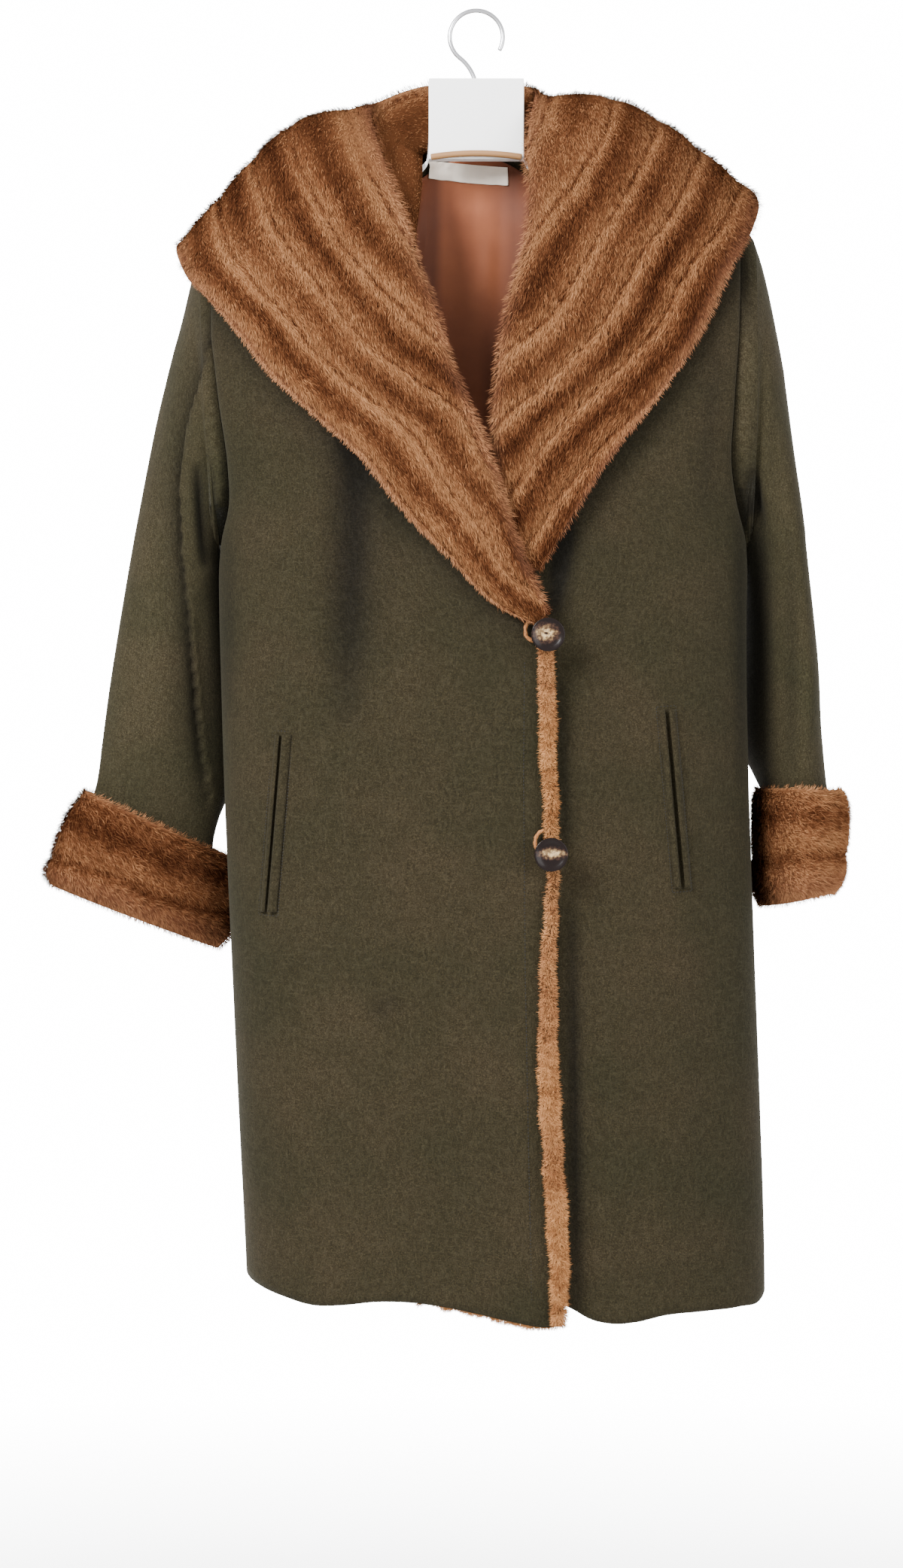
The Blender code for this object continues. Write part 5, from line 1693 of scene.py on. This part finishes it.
def stitch_runs(name: str, trunk: Trunk, side: int, lines: list, step: float, node: str) -> None:
    """Makes short raised stitches along straight lines on a front, as one joined mesh.

    Args: name: the piece's name. trunk: the surface they lie on. side: which front.
        lines: pairs of (x, z) ends. step: from stitch to stitch. node: the frame's node they add to.
    """
    centres, ways = [], []
    for first, last in lines:
        length = np.hypot(*(last - first))
        count = max(2, int(length / step))
        t = (np.arange(count) + 0.5) / count
        centres.append(first + (last - first) * t[:, None])
        ways.append(np.repeat([(last - first) / length], count, axis=0))
    centre, way = np.concatenate(centres), np.concatenate(ways)
    half = 0.42
    shape = np.array([
        (-0.5, 0, 0), (-0.25, 1, 0.8), (-0.25, -1, 0.8), (0.25, 1, 0.8), (0.25, -1, 0.8), (0.5, 0, 0),
        (0, 0, 1.2),
    ])
    faces = np.array([(0, 2, 6), (0, 6, 1), (2, 4, 6), (1, 6, 3), (4, 5, 6), (3, 6, 5)])
    along = shape[:, 0] * step * 0.72
    aside = shape[:, 1] * half
    x = centre[:, None, 0] + way[:, None, 0] * along - way[:, None, 1] * aside
    z = centre[:, None, 1] + way[:, None, 1] * along + way[:, None, 0] * aside
    lift = 0.28 + 0 * x + shape[:, 2] * half - 1.0
    points = trunk.on_front(side, x, z, lift).reshape(-1, 3)
    base = np.arange(len(centre))[:, None, None] * len(shape)
    obj = put_object(name, points, (base + faces[None]).reshape(-1, 3))
    put_uv(obj, points[:, [0, 2]] * MM)
    finish_piece(obj, node, trunk.wardrobe.thread, extra=True)


@dataclass
class BackLining:
    """The satin seen down the neck, and the blank label sewn on it."""

    wardrobe: Wardrobe
    trunk: Trunk
    sides: tuple = (-58, 54)
    low_z: float = -450.0
    depth: float = 5.2
    satin: float = 1.0
    label_wall: float = 0.8
    label_sides: tuple = (-48, 32)
    label_low_z: float = -142.5
    label_high: float = 16.5
    label_slope: float = 0.075

    def lining(self) -> None:
        """Makes the satin with its soft vertical folds."""
        x = np.linspace(*self.sides, 60)
        top = self.trunk.neck_and_shoulder(x)[:, 2] - 7
        v = np.linspace(1, 0, 90)[:, None]
        z = top + (self.low_z - top) * v
        grid = self.trunk.inside_back(x, z, self.depth)
        normal = -grid_normals(grid, False)
        fold = 0.6 * np.cos((x[None] + 6 * np.sin(z / 90)) / 8.5) + 0.5 * mottle(x[None], z * 0.3, 111, 11)
        ease = climb(z, top, -50) * climb(x, -57, 8) * climb(x, 54, -8)
        outer = grid - normal * ((fold + 2.0) * ease)[..., None]
        obj = wall("satin_lining_back", outer, outer - normal * self.satin, -1)
        # Painted shade on the satin: darker towards both sides and further down the back, stored as fold.
        shade = 0.9 * climb(x[None], 2, 34) + 0.8 * climb(x[None], -30, -10)
        put_painted_shade(obj, shade + 0.3 * climb(z, -240, -60), 1.0)
        finish_piece(obj, "lining_back", self.wardrobe.lining, self.wardrobe.lining)

    def label(self) -> None:
        """Makes the blank label, slightly puckered along its lower edge."""
        x = np.linspace(*self.label_sides, 60)
        rows = np.linspace(0, 1, 18)[:, None]
        z = self.label_low_z + self.label_high * rows - self.label_slope * (x - self.label_sides[0])
        grid = self.trunk.inside_back(x, z, self.depth + self.satin + 1.0)
        normal = -grid_normals(grid, False)
        pucker = 0.5 * mottle(x[None] + 0 * rows, rows * 20, 112, 5.5)
        pucker = pucker + 0.3 * np.cos(x[None] / 2.4) * (1 - rows)
        z_pucker = np.zeros_like(grid)
        z_pucker[..., 2] = 0.5 * mottle(x[None], 0 * rows, 113, 7) * (1 - rows)
        outer = grid - normal * (pucker + 0.5)[..., None] + z_pucker
        obj = wall("satin_neck_label", outer, outer - normal * self.label_wall, -1)
        finish_piece(obj, "neck_label", self.wardrobe.label, self.wardrobe.label)

    def build(self) -> None:
        """Makes both pieces."""
        self.lining()
        self.label()


class Bench:
    """Steps of modelling by hand that several hard pieces share."""

    @staticmethod
    def clear() -> None:
        """Leaves nothing selected, in object mode."""
        if bpy.context.mode != "OBJECT":
            bpy.ops.object.mode_set(mode="OBJECT")
        bpy.ops.object.select_all(action="DESELECT")

    @staticmethod
    def name(name: str) -> bpy.types.Object:
        """Names the piece that was just added, and applies its place. Returns: the piece."""
        obj = bpy.context.active_object
        obj.name = obj.data.name = name
        bpy.ops.object.transform_apply(location=True, rotation=True, scale=True)
        return obj

    @staticmethod
    def pick(obj: bpy.types.Object, test: Callable) -> None:
        """Selects, in edit mode, the faces whose centre and normal pass a test."""
        bpy.ops.object.mode_set(mode="EDIT")
        bpy.ops.mesh.select_mode(type="FACE")
        bpy.ops.mesh.select_all(action="DESELECT")
        bpy.ops.object.mode_set(mode="OBJECT")
        for face in obj.data.polygons:
            face.select = bool(test(face.center / MM, face.normal))
        bpy.ops.object.mode_set(mode="EDIT")

    @staticmethod
    def modify(obj: bpy.types.Object, kind: str, **settings: object) -> None:
        """Adds a modifier with its settings and applies it."""
        modifier = obj.modifiers.new(kind.lower(), kind)
        for key, value in settings.items():
            setattr(modifier, key, value)
        bpy.ops.object.modifier_apply(modifier=modifier.name)

    @staticmethod
    def bevel(obj: bpy.types.Object, width: float, segments: int, degrees: float) -> None:
        """Rounds the edges sharper than an angle, by a width in millimetres."""
        settings = {"width": width * MM, "segments": segments, "angle_limit": np.radians(degrees)}
        Bench.modify(obj, "BEVEL", limit_method="ANGLE", **settings)

    @staticmethod
    def smooth(degrees: float) -> None:
        """Shades the piece smooth below an angle."""
        bpy.ops.object.shade_smooth_by_angle(angle=np.radians(degrees))

    @staticmethod
    def inset(width: float, push: float) -> None:
        """Insets the picked faces, pushes them along Y and leaves edit mode; in millimetres."""
        bpy.ops.mesh.inset(thickness=width * MM, depth=0.0)
        bpy.ops.transform.translate(value=(0, push * MM, 0))
        bpy.ops.object.mode_set(mode="OBJECT")

    @staticmethod
    def spin(
        name: str, vertices: int, radius: float, start: np.ndarray, tilt: float, turns: tuple,
        bevel: float,
    ) -> bpy.types.Object:
        """Makes a rod by turning a disc through one arc after another.

        Args: name: the piece's name. vertices, radius, start, tilt: the disc's corners, radius,
            middle and turn about Y. turns: steps, angle and centre of each arc. bevel: the ends'.
        Returns: the piece.
        """
        Bench.clear()
        bpy.ops.mesh.primitive_circle_add(
            vertices=vertices, radius=radius * MM, fill_type="NGON",
            location=tuple(start * MM), rotation=(0, tilt, 0),
        )
        obj = Bench.name(name)
        bpy.ops.object.mode_set(mode="EDIT")
        bpy.ops.mesh.select_all(action="SELECT")
        for steps, angle, centre in turns:
            bpy.ops.mesh.spin(steps=steps, angle=angle, center=tuple(centre * MM), axis=(0, 1, 0))
        bpy.ops.mesh.select_all(action="SELECT")
        bpy.ops.mesh.remove_doubles(threshold=1e-6)
        bpy.ops.mesh.select_all(action="DESELECT")
        bpy.ops.mesh.select_mode(type="EDGE")
        bpy.ops.mesh.select_non_manifold(extend=False)
        bpy.ops.mesh.edge_face_add()
        bpy.ops.mesh.select_all(action="SELECT")
        bpy.ops.mesh.normals_make_consistent(inside=False)
        bpy.ops.object.mode_set(mode="OBJECT")
        Bench.bevel(obj, bevel, 3, 60)
        Bench.smooth(60)
        return obj


@dataclass
class Button:
    """A dished button with a raised rim and a small eye; each ring has its inset and its push."""

    place: Place
    wardrobe: Wardrobe
    radius: float = 14.7
    thick: float = 5.4
    rings: tuple = ((1.4, 0.0), (2.2, 1.0), (3.2, 0.5), (5.6, 0.2), (0.6, -0.15), (0.5, 1.0))

    def build(self) -> None:
        """Turns the button and dresses it."""
        centre = np.array(BUTTON_CENTRE[self.place])
        Bench.clear()
        middle = centre - (0, self.thick / 2, 0)
        bpy.ops.mesh.primitive_cylinder_add(
            vertices=48, radius=self.radius * MM, depth=self.thick * MM,
            location=tuple(middle * MM), rotation=(np.pi / 2, 0, 0),
        )
        obj = Bench.name(f"horn_button_{self.place.value}")
        for width, push in self.rings:
            Bench.pick(obj, lambda at, way: way.y < -0.7
                       and np.hypot(at.x - centre[0], at.z - centre[2]) < 0.5)
            Bench.inset(width, push)
        Bench.pick(obj, lambda at, way: way.y > 0.7)
        Bench.inset(1.6, 0.5)
        Bench.bevel(obj, 0.9, 3, 50)
        Bench.smooth(60)
        finish_piece(obj, f"button_{self.place.value}", self.wardrobe.horn[self.place])


@dataclass
class ButtonLoop:
    """A loop of thin fur cord that holds a button."""

    place: Place
    wardrobe: Wardrobe
    radius: float = 1.9
    rows: int = 60
    columns: int = 14
    hairs: int = 900
    cut: PileCut = PileCut(length=2.6, lift=34.0, width=0.3, stray=0.3, clump=3.0)

    def build(self) -> None:
        """Makes the twisted cord and its short hair."""
        path = np.array(LOOP_PATH[self.place], float)
        knots = np.arange(len(path), dtype=float)
        line = smooth(np.linspace(0, len(path) - 1, self.rows), knots, path)
        way = unit(np.gradient(line, axis=0))
        first = unit(np.cross(way, (0.0, 1.0, 0.0)))
        second = np.cross(way, first)
        turn = np.linspace(0, 2 * np.pi, self.columns, endpoint=False)[None]
        twist = turn + np.linspace(0, 14, self.rows)[:, None]
        ends = np.sqrt(np.clip(1 - np.linspace(-1, 1, self.rows) ** 16, 0, 1))[:, None]
        reach = (self.radius - 0.35 + 0.22 * np.cos(2 * twist)) * (0.15 + 0.85 * ends)
        spoke = np.cos(turn)[..., None] * first[:, None] + np.sin(turn)[..., None] * second[:, None]
        grid = line[:, None] + spoke * reach[..., None]
        shape = grid.shape[:2]
        index = np.arange(shape[0] * shape[1]).reshape(shape)
        after = np.roll(index, -1, axis=1)
        faces = np.stack([index[:-1], index[1:], after[1:], after[:-1]], axis=-1).reshape(-1, 4)
        points = np.concatenate([grid.reshape(-1, 3), line[[0, -1]]])
        fans = np.concatenate([
            np.stack([index[0], after[0], np.full(self.columns, index.size)], axis=-1),
            np.stack([after[-1], index[-1], np.full(self.columns, index.size + 1)], axis=-1),
        ])
        triangles = np.concatenate([faces[:, [0, 1, 2]], faces[:, [0, 2, 3]], fans])
        obj = put_object(f"cord_loop_{self.place.value}", points, triangles)
        for name, value in (("tone", 0.62), ("tip", 0.6), ("tint_and_highlight", 0.35)):
            put_values(obj, name, np.full(len(points), value))
        node, fur = f"button_loop_{self.place.value}", self.wardrobe.pale_pile
        finish_piece(obj, node, fur)
        lie = np.broadcast_to(way[:, None], grid.shape)
        field = PeltField(grid, spoke, lie, np.full(shape, 0.64), np.full(shape, 0.35), np.ones(shape))
        name = f"loop_pile_{self.place.value}"
        grow_pile(name, field.wrapped(), self.cut, self.hairs, 35, node, fur)


@dataclass
class Hanger:
    """White hanger with a tall plate at the neck, a lip under it and a wire hook."""

    wardrobe: Wardrobe
    plate_half: float = 43.0
    plate_front: float = -5.5
    plate_back: float = 10.0
    neck_z: float = -120.0
    lip_radius: float = 2.9
    lip_half: float = 41.0
    lip_rise: float = 3.4
    lip_y: float = -9.4
    wire: float = 2.0
    hook_radius: float = 22.0
    hook_start: float = -30.0
    hook_sweep: float = 262.0
    stem_way: tuple = (-0.616, 0.0, -0.788)
    stem_radius: float = 38.5
    stem_sweep: float = -38.0

    def draw_arm(self, obj: bpy.types.Object, sign: int) -> None:
        """Draws one arm out of the plate's side. Args: obj: the plate. sign: the sign of X there."""
        at = np.array([self.plate_half, self.middle_y, (self.neck_z + PLATE_BOTTOM) / 2])
        size = np.array([self.plate_back - self.plate_front, self.neck_z - PLATE_BOTTOM])
        for x, high, low, front, back in HANGER_ARM:
            target = np.array([x, (front + back) / 2, (high + low) / 2])
            new_size = np.array([back - front, high - low])
            Bench.pick(obj, lambda c, n, a=at: n.x * sign > 0.5 and abs(c.x * sign - a[0]) < 0.5
                       and abs(c.z - a[2]) < 1.0)
            move = (target - at) * (sign, 1, 1) * MM
            bpy.ops.mesh.extrude_region_move(TRANSFORM_OT_translate={"value": tuple(move)})
            middle = tuple(target * (sign, 1, 1) * MM)
            bpy.ops.transform.resize(value=(1, *(new_size / size)), center_override=middle)
            bpy.ops.object.mode_set(mode="OBJECT")
            at, size = target, new_size

    @property
    def middle_y(self) -> float:
        """Where the middle of the plate's thickness lies."""
        return (self.plate_front + self.plate_back) / 2

    def body(self) -> None:
        """Makes the plate and its two arms from one block."""
        Bench.clear()
        bpy.ops.mesh.primitive_cube_add(size=1.0, location=(0, 0, 0))
        obj = bpy.context.active_object
        thick, tall = self.plate_back - self.plate_front, PLATE_TOP - PLATE_BOTTOM
        obj.scale = (2 * self.plate_half * MM, thick * MM, tall * MM)
        obj.location = (0, self.middle_y * MM, (PLATE_TOP + PLATE_BOTTOM) / 2 * MM)
        obj = Bench.name("plastic_hanger_body")
        bpy.ops.object.mode_set(mode="EDIT")
        cuts = [((x, 0, 0), (1, 0, 0)) for x in (-36, -12, 12, 36)]
        cuts += [((0, 0, z), (0, 0, 1)) for z in (-66, -90, self.neck_z)]
        for place, way in cuts:
            bpy.ops.mesh.select_all(action="SELECT")
            bpy.ops.mesh.bisect(plane_co=tuple(np.array(place) * MM), plane_no=way)
        bpy.ops.object.mode_set(mode="OBJECT")
        for sign in (-1, 1):
            self.draw_arm(obj, sign)
        Bench.bevel(obj, 2.2, 2, 40)
        Bench.modify(obj, "SUBSURF", levels=1, render_levels=1)
        Bench.smooth(70)
        finish_piece(obj, "hanger_body", self.wardrobe.plastic)

    def lip(self) -> None:
        """Makes the arched lip under the plate, by turning a disc through a shallow arc."""
        radius = (self.lip_half**2 + self.lip_rise**2) / (2 * self.lip_rise)
        sweep = 2 * np.arcsin(self.lip_half / radius)
        centre = np.array([0, self.lip_y, PLATE_BOTTOM + 1.0 + self.lip_rise - radius])
        start = centre + radius * np.array([-np.sin(sweep / 2), 0, np.cos(sweep / 2)])
        arc, tilt = (30, -sweep, centre), np.pi / 2 - sweep / 2
        obj = Bench.spin("plastic_hanger_lip", 16, self.lip_radius, start, tilt, (arc,), 1.0)
        # Painted shade: the lip is dressed in a darker beige copy of the white plastic.
        finish_piece(obj, "hanger_lip", self.wardrobe.lip)

    def hook(self) -> bpy.types.Object:
        """Makes the wire hook: a disc turned through the bow, then drawn down into the plate."""
        radius = self.hook_radius + self.wire
        centre = np.array([0, 0, -self.hook_radius])
        angle, way = np.radians(self.hook_start), np.array(self.stem_way)
        start = centre + radius * np.array([np.cos(angle), 0, np.sin(angle)])
        turns = (
            (56, np.radians(self.hook_sweep), centre),
            (12, np.radians(self.stem_sweep), centre + radius * way + self.stem_radius * way),
        )
        return Bench.spin("steel_hanger_hook", 20, self.wire, start, -angle, turns, 0.8)

    def build(self) -> None:
        """Makes the three pieces."""
        finish_piece(self.hook(), "hanger_hook", self.wardrobe.steel)
        self.body()
        self.lip()


# ---------------------------------------------------------------- studio


@dataclass
class Studio:
    """Pale floor, soft lights and the camera, in metres."""

    look_x: float = -0.0224
    look_z: float = -0.697
    distance: float = 3.4
    half_height: float = 0.70856
    floor_z: float = -1.62
    floor_radius: float = 2.4
    sky: float = 1.5
    backdrop: float = 16.0
    aim: tuple = (0.0, 0.0, -0.65)

    @staticmethod
    def put(name: str, data: bpy.types.ID, place: tuple, turn: tuple) -> bpy.types.Object:
        """Puts a lamp or a camera into the scene. Returns: its object."""
        obj = bpy.data.objects.new(name, data)
        obj.location, obj.rotation_euler = place, turn
        bpy.context.scene.collection.objects.link(obj)
        return obj

    def camera(self) -> None:
        """Places the camera straight in front of the coat."""
        data = bpy.data.cameras.new("front_camera")
        data.sensor_fit = "AUTO"
        data.sensor_width = 36.0
        data.lens = 18.0 * self.distance / self.half_height
        place = (self.look_x, -self.distance, self.look_z)
        bpy.context.scene.camera = self.put("front_camera", data, place, (np.pi / 2, 0, 0))

    def floor(self) -> None:
        """Lays the round floor, which fades into the light behind it."""
        Bench.clear()
        bpy.ops.mesh.primitive_circle_add(
            vertices=96, radius=self.floor_radius, fill_type="NGON", location=(0, 0, self.floor_z)
        )
        obj = Bench.name("floor")
        finish = FloorFinish("pale_floor", self.floor_radius * 0.95)
        obj.data.materials.append(finish.material())

    def light(self, name: str, place: tuple, size: float, power: float) -> None:
        """Hangs one soft square lamp that faces the aim. Args: its name, place, size and power."""
        data = bpy.data.lights.new(name, "AREA")
        data.shape, data.size, data.energy = "SQUARE", size, power
        way = np.array(place) - np.array(self.aim)
        flat = np.hypot(way[0], way[1])
        turn = (np.arctan2(flat, way[2]), 0, np.arctan2(way[1], way[0]) + np.pi / 2)
        self.put(name, data, place, turn)

    def build(self) -> None:
        """Sets the whole studio up."""
        world = bpy.data.worlds.new("studio")
        world.use_nodes = True
        nodes = Nodes(world.node_tree)
        seen = nodes.add("LightPath").outputs["Is Camera Ray"]
        strength = nodes.mapped(seen, 0.0, 1.0, self.sky, self.backdrop)
        nodes.fill(world.node_tree.nodes["Background"], {0: (1.0, 1.0, 1.0, 1.0), 1: strength})
        bpy.context.scene.world = world
        self.floor()
        self.light("key", (-1.7, -2.3, 0.8), 1.2, 260.0)
        self.light("fill", (1.9, -2.2, -0.2), 2.0, 85.0)
        self.light("rear", (0.6, 2.6, 0.6), 2.0, 40.0)
        self.camera()


def main() -> None:
    """Builds every piece in order, reports it and sets the studio."""
    logging.basicConfig(level=logging.INFO, format="%(message)s")
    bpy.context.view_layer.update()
    wardrobe = Wardrobe()
    trunk = Trunk(wardrobe)
    trunk.build()
    for side in Side:
        Sleeve(side, trunk).build()
        Cuff(side, wardrobe).build()
        Pocket(side, wardrobe, trunk).build()
    Collar(wardrobe).build()
    EdgeTrim(wardrobe, trunk).build()
    facing = EdgeFacing(wardrobe, trunk)
    facing.fringe()
    facing.seam()
    BackLining(wardrobe, trunk).build()
    for place in Place:
        Button(place, wardrobe).build()
        ButtonLoop(place, wardrobe).build()
    Hanger(wardrobe).build()
    Studio().build()


if __name__ == "__main__":
    main()
